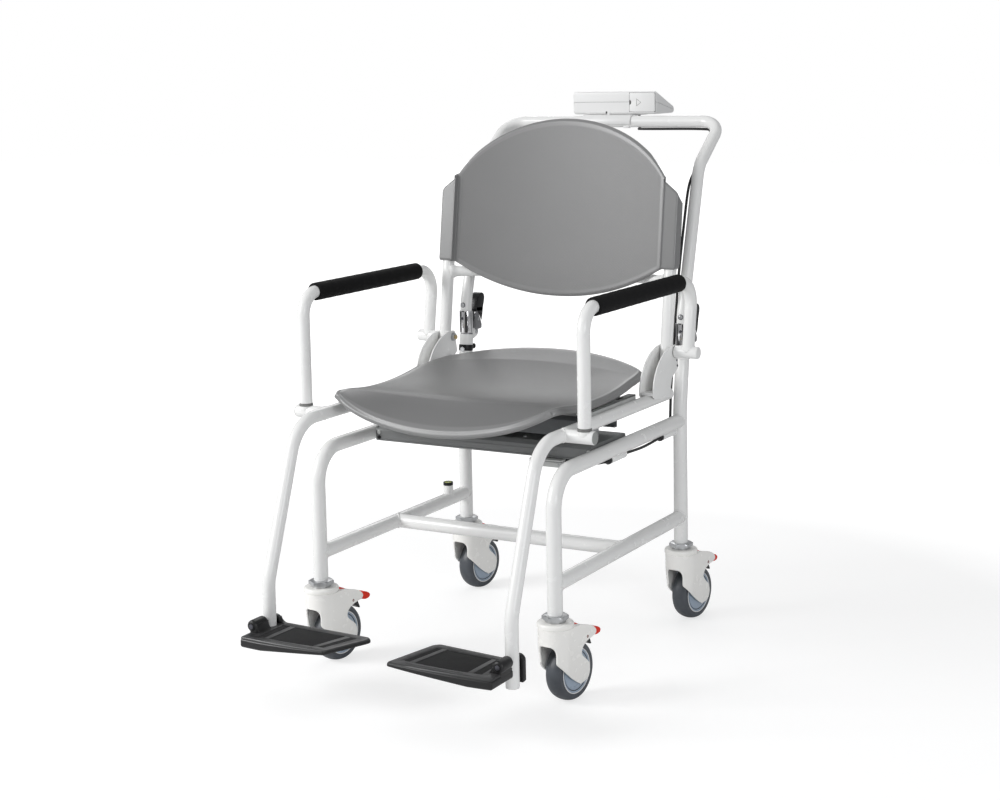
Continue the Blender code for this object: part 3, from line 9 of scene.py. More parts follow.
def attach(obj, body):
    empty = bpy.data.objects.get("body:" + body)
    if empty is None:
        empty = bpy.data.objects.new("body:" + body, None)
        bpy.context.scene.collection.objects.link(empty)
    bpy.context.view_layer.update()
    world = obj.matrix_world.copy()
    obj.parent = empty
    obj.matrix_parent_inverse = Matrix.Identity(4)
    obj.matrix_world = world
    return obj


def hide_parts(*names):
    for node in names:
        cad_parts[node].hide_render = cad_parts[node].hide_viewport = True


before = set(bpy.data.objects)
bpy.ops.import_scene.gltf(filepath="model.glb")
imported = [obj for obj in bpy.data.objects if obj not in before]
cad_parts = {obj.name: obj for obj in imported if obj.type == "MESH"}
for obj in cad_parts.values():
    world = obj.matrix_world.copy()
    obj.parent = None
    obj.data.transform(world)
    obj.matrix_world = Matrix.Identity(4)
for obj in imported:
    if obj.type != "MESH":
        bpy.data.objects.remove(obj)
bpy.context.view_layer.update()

# Looks of the digital chair scale. Places are in metres and are measured from the floor under the front
# legs, as in the part's source, and the whole chair then moves by this much to lie centred
chairShift = -0.28248
print("frame loaded with", len(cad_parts), "nodes")

# Camera, at the photograph's viewing angle

viewpoint = {
    "place": (1.5813, -2.80728, 1.0368),
    "azimuth": 29.88,
    "pitch": 7.21,
    "roll": -1.16,
    "lens": 65.83,
    "shift": (0.0047, -0.1061),
}


def makeCamera():
    # ahead = (-sin a cos p, cos a cos p, -sin p), and the frame is then rolled about it
    azimuth, pitch, roll = (math.radians(viewpoint[word]) for word in ("azimuth", "pitch", "roll"))
    ahead = np.array(
        [-math.sin(azimuth) * math.cos(pitch), math.cos(azimuth) * math.cos(pitch), -math.sin(pitch)]
    )
    level = np.array([math.cos(azimuth), math.sin(azimuth), 0])
    upward = np.cross(level, ahead)
    right = level * math.cos(roll) + upward * math.sin(roll)
    top = upward * math.cos(roll) - level * math.sin(roll)
    data = bpy.data.cameras.new("viewCamera")
    data.lens = viewpoint["lens"]
    data.sensor_width = 36
    data.shift_x, data.shift_y = viewpoint["shift"]
    data.clip_end = 60
    camera = bpy.data.objects.new("viewCamera", data)
    bpy.context.scene.collection.objects.link(camera)
    turned4 = np.eye(4)
    turned4[:3, :3] = np.stack([right, top, -ahead], axis=1)
    turned4[:3, 3] = viewpoint["place"]
    camera.matrix_world = Matrix(turned4.tolist())
    bpy.context.scene.camera = camera


makeCamera()

# Surfaces. Each is a pair: its points, one row each, and its faces as lists of point numbers


def unit(vectors):
    # v / |v|
    return vectors / np.maximum(np.linalg.norm(vectors, axis=-1, keepdims=True), 1e-12)


def spread(points, around=True, along=False):
    # A grid p(i, j) of points becomes quads between neighbours; a closed way joins its last to its first
    rows, columns = points.shape[:2]
    index = np.arange(rows * columns).reshape(rows, columns)
    if around:
        index = np.concatenate([index, index[:, :1]], axis=1)
    if along:
        index = np.concatenate([index, index[:1]], axis=0)
    quads = np.stack([index[:-1, :-1], index[:-1, 1:], index[1:, 1:], index[1:, :-1]], axis=-1)
    return points.reshape(-1, 3), quads.reshape(-1, 4), []


def merge(surfaces):
    # Several surfaces as one, with their point numbers moved on
    points, quads, rings, count = [], [], [], 0
    for place, faces, caps in surfaces:
        points.append(place)
        quads.append(faces + count)
        rings += [np.asarray(cap) + count for cap in caps]
        count += len(place)
    return np.concatenate(points), np.concatenate(quads), rings


def moved(surface, change):
    # The same surface with every point p moved to change(p)
    return change(surface[0]), surface[1], surface[2]


def bend(corners, radii, stepDegrees=7.5):
    # Straight runs joined by arcs: centre + R (cos t · first + sin t · travel), t from 0 to the turn
    corners = np.array(corners, float)
    parts = [corners[:1]]
    radii = np.broadcast_to(radii, len(corners) - 2)
    for before, corner, after, radius in zip(corners, corners[1:], corners[2:], radii):
        back, ahead = unit(before - corner), unit(after - corner)
        turn = math.pi - math.acos(np.clip(back @ ahead, -1, 1))
        if turn < 1e-4 or radius <= 0:
            parts.append(corner[None])
            continue
        room = 0.499 * min(np.linalg.norm(before - corner), np.linalg.norm(after - corner))
        reach = min(radius * math.tan(turn / 2), room)
        radius = reach / math.tan(turn / 2)
        outward = -unit(back + ahead)
        centre = corner - outward * radius / math.cos(turn / 2)
        first = unit(corner + back * reach - centre)
        count = max(3, math.ceil(math.degrees(turn) / stepDegrees) + 1)
        angle = np.linspace(0, turn, count)[:, None]
        parts.append(centre + radius * (np.cos(angle) * first - np.sin(angle) * back))
    parts.append(corners[-1:])
    return np.concatenate(parts)


def roundOutline(corners, radius, stepDegrees=15):
    # A closed outline whose corners are arcs, begun in the middle of its last side
    corners = np.array(corners, float)
    middle = (corners[-1] + corners[0]) / 2
    loop = np.concatenate([[middle], corners, [middle]])
    return bend(loop, np.broadcast_to(radius, len(corners)), stepDegrees)[:-1]


def rectangle(left, low, right, high, radius, stepDegrees=15):
    # A plate's outline with rounded corners
    return roundOutline([(left, low), (right, low), (right, high), (left, high)], radius, stepDegrees)


def flowing(points, steps=6, closed=False):
    # Catmull-Rom: p1 + ½ ((p2 - p0) t + (2 p0 - 5 p1 + 4 p2 - p3) t² + (3 p1 - p0 - 3 p2 + p3) t³)
    points = np.array(points, float)
    if closed:
        points = np.concatenate([points[-1:], points, points[:2]])
    else:
        points = np.concatenate([[2 * points[0] - points[1]], points, [2 * points[-1] - points[-2]]])
    p0, p1, p2, p3 = (points[k : len(points) - 3 + k, None] for k in range(4))
    t = (np.arange(steps) / steps)[None, :, None]
    pull = (p2 - p0) * t + (2 * p0 - 5 * p1 + 4 * p2 - p3) * t**2 + (3 * p1 - p0 - 3 * p2 + p3) * t**3
    route = (p1 + 0.5 * pull).reshape(-1, points.shape[1])
    return route if closed else np.concatenate([route, points[-2:-1]])


def crossings(tangents):
    # The axis that leans least on any tangent gives across = axis - (axis · t) t, and other = t × across
    choices = unit(
        np.array([(1, 0, 0), (0, 1, 0), (0, 0, 1), (0, 0.59, -0.81), (1, 1, 0), (1, 0, 1), (0, 1, 1)], float)
    )
    axis = choices[np.argmin(np.abs(choices @ tangents.T).max(axis=1))]
    across = unit(axis - tangents * (tangents @ axis)[:, None])
    return across, np.cross(tangents, across)


def tube(route, radius, sides=32, rounding=0.0008, wall=0, depth=0.012):
    # ring(i, a) = route(i) + r(i) (cos a · across + sin a · other), with quarter-round ends; a tube
    # with a wall is open at its far end for some depth
    route = np.array(route, float)
    radius = np.broadcast_to(np.array(radius, float), len(route))
    runs = unit(np.diff(route, axis=0))
    tangents = unit(np.concatenate([runs[:1], runs[:-1] + runs[1:], runs[-1:]]))
    lean = np.linspace(0, np.pi / 2, 4)
    inward = (rounding * (1 - np.cos(lean)))[:, None]
    less = rounding * (1 - np.sin(lean))
    stations = [route[:1], route[0] + tangents[0] * inward, route[1:-1]]
    stations.append((route[-1] - tangents[-1] * inward)[::-1])
    radii = [[0], radius[0] - less, radius[1:-1], (radius[-1] - less)[::-1]]
    if wall:
        stations += [route[-1:], route[-1:] - tangents[-1] * depth]
        radii.append([radius[-1] - wall, radius[-1] - wall])
        stations.append(route[-1:] - tangents[-1] * depth)
    else:
        stations.append(route[-1:])
    radii.append([0])
    stations, radii = np.concatenate(stations), np.concatenate(radii)
    tail = len(stations) - 5 - (len(route) - 2)
    ways = np.concatenate([np.repeat(tangents[:1], 5, 0), tangents[1:-1], np.repeat(tangents[-1:], tail, 0)])
    across, other = crossings(ways)
    angle = np.linspace(0, 2 * np.pi, sides, endpoint=False)[None, :, None]
    circle = np.cos(angle) * across[:, None] + np.sin(angle) * other[:, None]
    return spread(stations[:, None] + radii[:, None, None] * circle)


def turned(profile, centre, axis=(0, 0, 1), sides=48, closed=False):
    # centre + h axis + r (cos a · across + sin a · other), for each (r, h) of the profile
    profile = np.array(profile, float)
    axis = unit(np.array(axis, float))
    across, other = (row[0] for row in crossings(axis[None]))
    angle = np.linspace(0, 2 * np.pi, sides, endpoint=False)[None, :, None]
    circle = np.cos(angle) * across + np.sin(angle) * other
    rise = profile[:, 1, None, None] * axis
    return spread(np.array(centre, float) + rise + profile[:, 0, None, None] * circle, True, closed)


def disc(radius, low, high, centre, axis=(0, 0, 1), rounding=0.0005, sides=40, bore=0):
    # A turned plate or pin with rounded edges
    if bore:
        outline = rectangle(bore, low, radius, high, rounding, 30)
        return turned(outline, centre, axis, sides, True)
    return turned(
        bend([(0, low), (radius, low), (radius, high), (0, high)], rounding, 22), centre, axis, sides
    )


placeOrders = {"X": (2, 0, 1), "Y": (0, 2, 1), "Z": (0, 1, 2)}


def slab(outline, low, high, axis="X", rounding=0.0008, steps=3):
    # An outline pushed along an axis. Ring k is moved in by r (1 - sin t) and along by r (1 - cos t)
    outline = np.array(outline, float)
    following = np.roll(outline, -1, axis=0)
    area = np.sum(outline[:, 0] * following[:, 1] - outline[:, 1] * following[:, 0])
    if area < 0:
        outline = outline[::-1]
        following = np.roll(outline, -1, axis=0)
    sides = unit(following - outline)
    normals = np.stack([-sides[:, 1], sides[:, 0]], axis=1)
    mitre = normals + np.roll(normals, 1, axis=0)
    mitre = mitre / np.maximum(0.5 * (mitre**2).sum(axis=1, keepdims=True), 0.35)
    lean = np.linspace(0, np.pi / 2, steps + 1) if rounding else np.array([np.pi / 2])
    inset = rounding * (1 - np.sin(lean))
    along = rounding * (1 - np.cos(lean))
    insets = np.concatenate([inset, inset[::-1]])
    heights = np.concatenate([low + along, (high - along)[::-1]])
    plane = outline[None] + insets[:, None, None] * mitre[None]
    rise = np.broadcast_to(heights[:, None, None], (*plane.shape[:2], 1))
    points = np.concatenate([plane, rise], axis=2)[..., list(placeOrders[axis])]
    place, quads = spread(points)[:2]
    count = len(outline)
    last = len(place)
    return place, quads, [np.arange(count), np.arange(last - count, last)]


def softBox(low, high, rounding=0.002, steps=3, cuts=((), (), ())):
    # inner + r · unit(p - inner) for a box's skin, where inner is p held inside the box less r. Cuts add
    # grid lines along X, Y and Z
    low, high = np.array(low, float), np.array(high, float)
    middle, half = (low + high) / 2, (high - low) / 2
    rounding = min(rounding, 0.98 * half.min())
    core = half - rounding
    lean = np.tan(np.linspace(0, np.pi / 4, steps + 1))
    ticks = [
        np.unique(np.concatenate([-(c + rounding * lean), c + rounding * lean, np.array(cut, float) - m]))
        for c, cut, m in zip(core, cuts, middle)
    ]
    parts = []
    for axis, (first, second) in enumerate(((1, 2), (2, 0), (0, 1))):
        a, b = np.meshgrid(ticks[first], ticks[second], indexing="ij")
        for sign in (-1, 1):
            skin = np.zeros((*a.shape, 3))
            skin[..., axis], skin[..., first], skin[..., second] = sign * half[axis], a, b
            inner = np.clip(skin, -core, core)
            parts.append(spread(middle + inner + rounding * unit(skin - inner), False))
    return merge(parts)


def hexNut(centre, axis, flats, height, bore=0):
    # r(a, h) = min(f / cos(a mod 60° - 30°), limit(h)), where the limit falls towards both faces
    axis = unit(np.array(axis, float))
    across, other = (row[0] for row in crossings(axis[None]))
    angle = np.linspace(0, 2 * np.pi, 96, endpoint=False)
    hexagon = flats / 2 / np.cos((angle + np.pi / 6) % (np.pi / 3) - np.pi / 6)
    levels = np.array([0, 0, 0.05, 0.16, 0.84, 0.95, 1, 1]) * height
    limits = np.array([bore / flats * 2, 0.97, 1.04, 1.16, 1.16, 1.04, 0.97, bore / flats * 2]) * flats / 2
    radii = np.minimum(hexagon[None], limits[:, None])[..., None]
    circle = np.cos(angle)[None, :, None] * across + np.sin(angle)[None, :, None] * other
    points = np.array(centre, float) + levels[:, None, None] * axis + radii * circle
    return spread(points, True, bore > 0)


def screwHead(centre, axis, radius, height):
    # A domed head with a sunk drive
    profile = [
        (0, 0.35 * height), (0.36 * radius, 0.35 * height), (0.42 * radius, 0.95 * height),
        (0.60 * radius, height), (0.80 * radius, 0.82 * height), (0.95 * radius, 0.45 * height),
        (radius, 0), (radius, -0.3 * height), (0, -0.3 * height),
    ]
    return turned(profile, centre, axis, 20)


def weldBead(centre, main, join, mainRadius, joinRadius, size=0.0017):
    # Where one tube ends on another: c + r (cos a · main + sin a · other) + √(R² - (r sin a)²) join
    main, join = unit(np.array(main, float)), unit(np.array(join, float))
    other = np.cross(main, join)
    angle = np.linspace(0, 2 * np.pi, 72, endpoint=False)[:, None]
    outward = np.cos(angle) * main + np.sin(angle) * other
    reach = np.sqrt(np.maximum(mainRadius**2 - (joinRadius * np.sin(angle)) ** 2, 0))
    spine = np.array(centre, float) + outward * joinRadius + reach * join
    turn = np.linspace(0, 2 * np.pi, 10, endpoint=False)[None, :, None]
    swell = (size * (1 + 0.10 * np.sin(24 * angle)))[:, None]
    return spread(
        spine[:, None] + swell * (np.cos(turn) * outward[:, None] + np.sin(turn) * join), True, True
    )


def wound(points, faces, caps):
    # Joins points that coincide, and turns squashed quads into triangles
    keys = np.round(points / 2e-6).astype(np.int64)
    first, inverse = np.unique(keys, axis=0, return_index=True, return_inverse=True)[1:]
    inverse = inverse.reshape(-1)
    faces = inverse[faces]
    doubled = faces == np.roll(faces, -1, axis=1)
    whole = faces[doubled.sum(axis=1) == 0]
    squashed = doubled.sum(axis=1) == 1
    triangles = faces[squashed][~doubled[squashed]].reshape(-1, 3)
    rings = [list(dict.fromkeys(inverse[cap].tolist())) for cap in caps]
    polygons = whole.tolist() + triangles.tolist() + [ring for ring in rings if len(ring) > 2]
    return points[first], polygons, first


class Piece:
    # Gathers closed surfaces with their finishes, and builds them as one object that rides on a body

    def __init__(self, node, body, slotName, mirrored=False):
        # The piece has the name of the node that it replaces, written without underscores
        first, *rest = node.split("_")
        self.name = first + "".join(part.capitalize() for part in rest)
        self.nodes, self.body, self.slotName, self.mirrored = [node], body, slotName, mirrored
        self.points, self.faces, self.marks, self.finishes, self.count = [], [], [], [], 0
        self.layers = {}

    def add(self, surface, finish, **layers):
        # Adds a surface: its corners follow those that are already there, and its faces take the finish
        points, faces, kept = wound(*surface)
        if finish not in self.finishes:
            self.finishes.append(finish)
        self.points.append(points)
        self.faces += [[corner + self.count for corner in face] for face in faces]
        self.marks += [self.finishes.index(finish)] * len(faces)
        for word, values in layers.items():
            self.layers.setdefault(word, []).append((self.count, np.asarray(values).reshape(-1)[kept]))
        self.count += len(points)
        return self

    def build(self, sharp=38):
        # Makes the mesh: the points set in the frame, and mirrored (x · -1) for a right-hand piece
        points = np.concatenate(self.points)
        points[:, 1] += chairShift
        if self.mirrored:
            points[:, 0] *= -1
        mesh = bpy.data.meshes.new(self.name)
        mesh.from_pydata(points.tolist(), [], self.faces)
        mesh.polygons.foreach_set("material_index", self.marks)
        for word, parts in self.layers.items():
            values = np.zeros(len(points), np.float32)
            for start, part in parts:
                values[start : start + len(part)] = part
            mesh.attributes.new(word, "FLOAT", "POINT").data.foreach_set("value", values)
        for finish in self.finishes:
            mesh.materials.append(finish)
        work = bmesh.new()
        work.from_mesh(mesh)
        bmesh.ops.recalc_face_normals(work, faces=work.faces)
        work.to_mesh(mesh)
        work.free()
        mesh.shade_smooth()
        mesh.set_sharp_from_angle(angle=math.radians(sharp))
        made = bpy.data.objects.new(self.name, mesh)
        bpy.context.scene.collection.objects.link(made)
        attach(made, self.body)
        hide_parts(*self.nodes)
        return made


sides = (("left", False), ("right", True))

# Finishes


class Signal:
    # The output of a shader node, on which sums are written as plain expressions

    def __init__(self, socket):
        self.socket = socket

    def sum(self, operation, *values):
        # A math node with the given values at its sockets
        tree = self.socket.id_data
        node = tree.nodes.new("ShaderNodeMath")
        node.operation = operation
        for slotIndex, value in enumerate(values):
            if isinstance(value, Signal):
                tree.links.new(value.socket, node.inputs[slotIndex])
            else:
                node.inputs[slotIndex].default_value = value
        return Signal(node.outputs[0])

    def __add__(self, other):
        return self.sum("ADD", self, other)

    def __radd__(self, other):
        return self.sum("ADD", other, self)

    def __sub__(self, other):
        return self.sum("SUBTRACT", self, other)

    def __rsub__(self, other):
        return self.sum("SUBTRACT", other, self)

    def __mul__(self, other):
        return self.sum("MULTIPLY", self, other)

    def __rmul__(self, other):
        return self.sum("MULTIPLY", other, self)

    def __truediv__(self, other):
        return self.sum("DIVIDE", self, other)

    def __pow__(self, other):
        return self.sum("POWER", self, other)

    def held(self, low=0.0, high=1.0):
        # The value kept between low and high
        return self.sum("MINIMUM", self.sum("MAXIMUM", self, low), high)


class Finish:
    # One finish: a material, the one way in which nodes join it, and what feeds its shader

    def __init__(self, name):
        self.material = bpy.data.materials.new(name)
        self.material.use_nodes = True
        self.tree = self.material.node_tree
        self.shader = self.tree.nodes["Principled BSDF"]
        self.place = self.node("ShaderNodeTexCoord", output="Object")

    def node(self, kind, settings=(), inputs=(), output=0):
        # Adds a node with its settings and inputs, and gives one of its outputs
        node = self.tree.nodes.new(kind)
        for word, value in dict(settings).items():
            if word == "stops":
                while len(node.color_ramp.elements) < len(value):
                    node.color_ramp.elements.new(0.5)
                for element, (position, level) in zip(node.color_ramp.elements, value):
                    element.position, element.color = position, (level, level, level, 1)
            else:
                setattr(node, word, value)
        for key, value in dict(inputs).items():
            self.feed(node.inputs[key], value)
        return Signal(node.outputs[output])

    def feed(self, socket, value):
        # Links a signal to a socket, or sets the socket to a plain value
        if isinstance(value, Signal):
            self.tree.links.new(value.socket, socket)
        elif isinstance(value, tuple) and socket.type == "RGBA":
            socket.default_value = (*value[:3], 1)
        else:
            socket.default_value = value

    def stretched(self, scale, turn=(0, 0, 0)):
        # The place on the object, scaled and turned
        return self.node("ShaderNodeMapping", {}, {"Vector": self.place, "Scale": scale, "Rotation": turn})

    def noise(self, scale, detail=2.0, vector=None, roughness=0.5):
        # Soft noise, from 0 to 1
        inputs = {"Vector": vector or self.place, "Scale": scale, "Detail": detail, "Roughness": roughness}
        return self.node("ShaderNodeTexNoise", {}, inputs, "Fac")

    def cells(self, scale, vector=None, feature="F1"):
        # Distance to the nearest of many scattered points
        inputs = {"Vector": vector or self.place, "Scale": scale}
        return self.node("ShaderNodeTexVoronoi", {"feature": feature}, inputs, "Distance")

    def blend(self, share, first, second):
        # Mixes two colours: first · (1 - share) + second · share
        return self.node("ShaderNodeMix", {"data_type": "RGBA"}, {0: share, 6: first, 7: second}, 2)

    def height(self):
        # Height over the floor
        return self.node("ShaderNodeSeparateXYZ", {}, {"Vector": self.place}, 2)

    def layer(self, word):
        # A value that the mesh's points carry
        return self.node("ShaderNodeAttribute", {"attribute_name": word}, {}, "Fac")

    def done(self, colour, roughness, metallic=0.0, bump=None, depth=0.0001, **sockets):
        # Joins colour, roughness and relief to the surface, and gives the material
        self.feed(self.shader.inputs["Base Color"], colour)
        self.feed(self.shader.inputs["Roughness"], roughness)
        self.feed(self.shader.inputs["Metallic"], metallic)
        for word, value in sockets.items():
            self.feed(self.shader.inputs[word.replace("_", " ")], value)
        if bump is not None:
            normal = self.node("ShaderNodeBump", {}, {"Height": bump, "Distance": depth, "Strength": 1.0})
            self.feed(self.shader.inputs["Normal"], normal)
        return self.material


def shade(colour, factor):
    # A lighter or darker tone: colour · factor
    return tuple(channel * factor for channel in colour)


def makePaint(name, colour, roughness=0.34, peel=0.000012, lowDarkening=0.05):
    # Powder coat: orange peel, a faint mottle, and a darker, rougher tone that grows towards the floor
    finish = Finish(name)
    fine = finish.noise(620.0, 2.0)
    # Below 0.30 m the colour darkens in noisy patches and the gloss roughens, more so nearer the floor
    low = (1.0 - finish.height() / 0.30).held() * finish.noise(38.0, 4.0) * lowDarkening
    tone = finish.blend((finish.noise(9.0, 3.0) * 0.5 + low).held(), colour, shade(colour, 0.94))
    rough = roughness + (finish.noise(60.0, 3.0) - 0.5) * 0.08 + low * 0.3
    return finish.done(tone, rough, bump=fine, depth=peel)


def makePlastic(name, colour, roughness=0.4, grain=900.0, depth=0.00004, mottle=0.10, **sockets):
    # Moulded plastic: a fine spark texture and a slow change of gloss
    finish = Finish(name)
    tone = finish.blend(
        finish.noise(26.0, 3.0), shade(colour, 1 - mottle / 2), shade(colour, 1 + mottle / 2)
    )
    rough = roughness + (finish.noise(70.0, 2.0) - 0.5) * 0.12
    return finish.done(tone, rough, bump=finish.noise(grain, 3.0), depth=depth, **sockets)


def makeMetal(name, colour, roughness, lay=(40.0, 900.0, 900.0), depth=0.00002):
    # Metal with drawn or ground marks along one way
    finish = Finish(name)
    marks = finish.noise(1.0, 3.0, finish.stretched(lay))
    tarnish = finish.noise(55.0, 4.0)
    tone = finish.blend(tarnish, shade(colour, 0.86), colour)
    rough = roughness + (marks - 0.5) * 0.16 + (tarnish - 0.5) * 0.10
    return finish.done(tone, rough, 1.0, bump=marks, depth=depth)


def makeShell(name, colour):
    # Textured moulded sheet: small raised dots inside a plain border, which the layer "rim" gives; the dots
    # and the border are painted lighter than the field, a painted highlight on the dots and a painted sheen
    # on the smooth border
    finish = Finish(name)
    plain = finish.layer("rim")
    field = (1.0 - plain).held()
    split = finish.node("ShaderNodeSeparateXYZ", {}, {"Vector": finish.place})
    along = Signal(split.socket.node.outputs[1]) + Signal(split.socket.node.outputs[2])
    flat = finish.node("ShaderNodeCombineXYZ", {}, {0: split, 1: along})
    grid = finish.node("ShaderNodeMapping", {}, {"Vector": flat, "Rotation": (0, 0, 0.785)})
    spots = {"Vector": grid, "Scale": 470.0, "Randomness": 0.0}
    dots = 1.0 - finish.node("ShaderNodeTexVoronoi", {}, spots, "Distance") * 1.9
    weave = finish.noise(1.0, 2.0, finish.stretched((700.0, 260.0, 260.0), (0.3, 0.2, 0.7)))
    pattern = dots.held() * field
    worn = finish.noise(7.0, 3.0)
    # Painted highlight on the raised dots and painted sheen on the smooth border both lift the colour here
    tone = finish.blend(
        (pattern * 0.70 + plain * 0.66 + worn * 0.16 + weave * 0.10).held(),
        shade(colour, 0.74),
        shade(colour, 1.26),
    )
    rough = 0.30 + field * 0.06 + (worn - 0.5) * 0.10
    return finish.done(tone, rough, bump=pattern + weave * 0.2, depth=0.00016)


def makeRubber(name, colour, roughness=0.6):
    # Rubber: a dull bloom over a fine grain
    finish = Finish(name)
    bloom = finish.noise(90.0, 4.0)
    tone = finish.blend(bloom, shade(colour, 0.8), shade(colour, 1.35))
    return finish.done(tone, roughness + (bloom - 0.5) * 0.2, bump=finish.noise(1300.0, 2.0), depth=0.00003)


def makeFoam(name, colour):
    # Closed-cell foam: shallow pores
    finish = Finish(name)
    pores = finish.cells(900.0)
    tone = finish.blend(finish.noise(140.0, 3.0), shade(colour, 0.75), shade(colour, 1.5))
    return finish.done(tone, 0.82 - pores * 0.1, bump=pores, depth=0.0001, Specular_IOR_Level=0.15)


def makeLens(name, colour):
    # The display's window: a clear coat over a grey-green field with faint rows
    finish = Finish(name)
    rows = finish.noise(1.0, 1.0, finish.stretched((60.0, 1500.0, 1500.0)))
    tint = finish.blend(rows * 0.5 + finish.noise(18.0) * 0.5, shade(colour, 0.93), shade(colour, 1.05))
    return finish.done(
        tint, 0.32 + rows * 0.06, bump=rows, depth=0.000004, Coat_Weight=0.8, Coat_Roughness=0.06
    )


framePaint = makePaint("whitePowderCoat", (0.86, 0.86, 0.85), 0.26)
# The beams' grey paint: partly their own grey, partly painted shade under the seat
greyBeamPaintAndShade = makePaint("greyPowderCoatAndShade", (0.190, 0.195, 0.195), 0.40)
# A darker copy of the beams' grey, painted shade for the seat beam under the seat
shadedBeamPaint = makePaint("shadedBeamPowderCoat", (0.10, 0.105, 0.11), 0.45)
paleBox = makePlastic("paleBoxPlastic", (0.58, 0.59, 0.58), 0.42)
shellPlastic = makeShell("greyShellPlastic", (0.192, 0.192, 0.192))
casterIvory = makePlastic("ivoryCasterPlastic", (0.93, 0.92, 0.89), 0.26, 900.0, 0.000002, 0.006)
# Dark plastic set inside the caster housing, painted shade for its shadowed inside
casterShade = makePlastic("casterInsidePaintedShade", (0.050, 0.046, 0.042), 0.6)
tyreRubber = makeRubber("tyreRubber", (0.062, 0.069, 0.080), 0.42)
hubPlastic = makePlastic("blueGreyHubPlastic", (0.33, 0.40, 0.49), 0.30, 700.0, 0.00002, 0.06)
pedalRed = makePlastic(
    "redPedalPlastic", (0.78, 0.022, 0.003), 0.42, 600.0, 0.00002, 0.08, Specular_IOR_Level=0.3
)
rivetRed = makePlastic("rivetSteel", (0.16, 0.03, 0.025), 0.35)
blackPlastic = makePlastic("blackPlastic", (0.006, 0.006, 0.007), 0.34, Specular_IOR_Level=0.35)
footFrame = makePlastic("footplateFrame", (0.0060, 0.0060, 0.0065), 0.38, 800.0, 0.00002, 0.16)
footTop = makePlastic("footplateTop", (0.036, 0.036, 0.037), 0.36, 800.0, 0.00002, 0.16)
footPanel = makePlastic(
    "footplatePanel", (0.0155, 0.0155, 0.0160), 0.75, 1500.0, 0.00012, 0.2, Specular_IOR_Level=0.3
)
gripFoam = makeFoam("blackArmFoam", (0.0065, 0.0065, 0.0068))
zinc = makeMetal("zincPlate", (0.58, 0.59, 0.60), 0.34, (260.0, 260.0, 30.0), 0.000006)
chrome = makeMetal("chromePlate", (0.80, 0.80, 0.81), 0.09, (200.0, 200.0, 30.0), 0.000006)
brass = makeMetal("yellowZinc", (0.72, 0.56, 0.30), 0.34)
cellAluminium = makeMetal("milledAluminium", (0.78, 0.79, 0.80), 0.34)
cheekSteel = makeMetal("greySteel", (0.30, 0.30, 0.31), 0.38)
darkSteel = makeMetal("blackenedSteel", (0.13, 0.13, 0.15), 0.32)
bareRim = makeMetal("bareTubeRim", (0.34, 0.25, 0.18), 0.45)
cableSheath = makeRubber("cableSheath", (0.008, 0.008, 0.008), 0.42)
caseWhite = makePlastic("caseWhite", (0.80, 0.80, 0.795), 0.34, 1100.0, 0.00001, 0.02)
seamShadow = makePlastic("seamShadow", (0.04, 0.04, 0.04), 0.7)
screenGlass = makeLens("displayWindow", (0.30, 0.36, 0.27))
digitInk = makePlastic("displayDigits", (0.02, 0.024, 0.022), 0.4)
keyPlastic = makePlastic("keyPlastic", (0.36, 0.37, 0.38), 0.46, 1300.0, 0.00003)
capGrey = makePlastic("endCapGrey", (0.30, 0.31, 0.30), 0.45)
bootGrey = makeRubber("bootRingGrey", (0.16, 0.16, 0.155), 0.5)
levelLiquid = makePlastic("levelLiquid", (0.55, 0.62, 0.10), 0.10, 200.0, 0.00001)
print("finishes ready")

# Cables, which leave the junction box, run along the left side and end in the indicator

cables = {
    "radius": 0.0025,
    "frame": (
        (0.1720, 0.1720, 0.3611), (0.1860, 0.1720, 0.3612), (0.2060, 0.1730, 0.3622),
        (0.2190, 0.1765, 0.3632), (0.2270, 0.1840, 0.3641), (0.2298, 0.1940, 0.3644),
        (0.2300, 0.2060, 0.3644), (0.2300, 0.2560, 0.3644), (0.2300, 0.2680, 0.3640),
        (0.2300, 0.3380, 0.3612), (0.2300, 0.4010, 0.3640), (0.2300, 0.4130, 0.3644),
        (0.2300, 0.4680, 0.3644), (0.2275, 0.4760, 0.3628), (0.2200, 0.4835, 0.3636),
        (0.2142, 0.4880, 0.3740), (0.2136, 0.4905, 0.3960), (0.2136, 0.4935, 0.4300),
        (0.2136, 0.5000, 0.4700), (0.2136, 0.5080, 0.5110),
    ),
    "handle": (
        (0.2140, 0.5090, 0.5130), (0.2140, 0.5110, 0.5420), (0.2145, 0.5160, 0.5720),
        (0.2158, 0.5265, 0.6400), (0.2158, 0.5540, 0.7400), (0.2160, 0.5760, 0.8040),
        (0.2195, 0.6000, 0.8330), (0.2225, 0.6380, 0.8575), (0.2215, 0.6760, 0.8800),
        (0.2080, 0.6965, 0.8990), (0.1880, 0.6985, 0.9036), (0.0700, 0.6975, 0.9038),
        (0.0570, 0.7050, 0.9048), (0.0520, 0.7130, 0.9140), (0.0510, 0.7150, 0.9300),
    ),
}


def makeCable(name, body, node, points):
    # One open spline through the route's points
    route = flowing(points, 5)
    route[:, 1] += chairShift
    data = bpy.data.curves.new(name, "CURVE")
    data.dimensions = "3D"
    data.bevel_depth = cables["radius"]
    data.bevel_resolution = 4
    data.use_fill_caps = True
    spline = data.splines.new("POLY")
    spline.points.add(len(route) - 1)
    spline.points.foreach_set("co", np.concatenate([route, np.ones((len(route), 1))], axis=1).reshape(-1))
    data.materials.append(cableSheath)
    cable = bpy.data.objects.new(name, data)
    bpy.context.scene.collection.objects.link(cable)
    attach(cable, body)
    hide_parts(node)
    length = float(np.linalg.norm(np.diff(route, axis=0), axis=1).sum())
    print(name, "is", round(length, 3), "m long")


makeCable("frameCable", "base", "frame_cable", cables["frame"])
makeCable("handleCable", "handle", "handle_cable", cables["handle"])

# Floor, world and lights

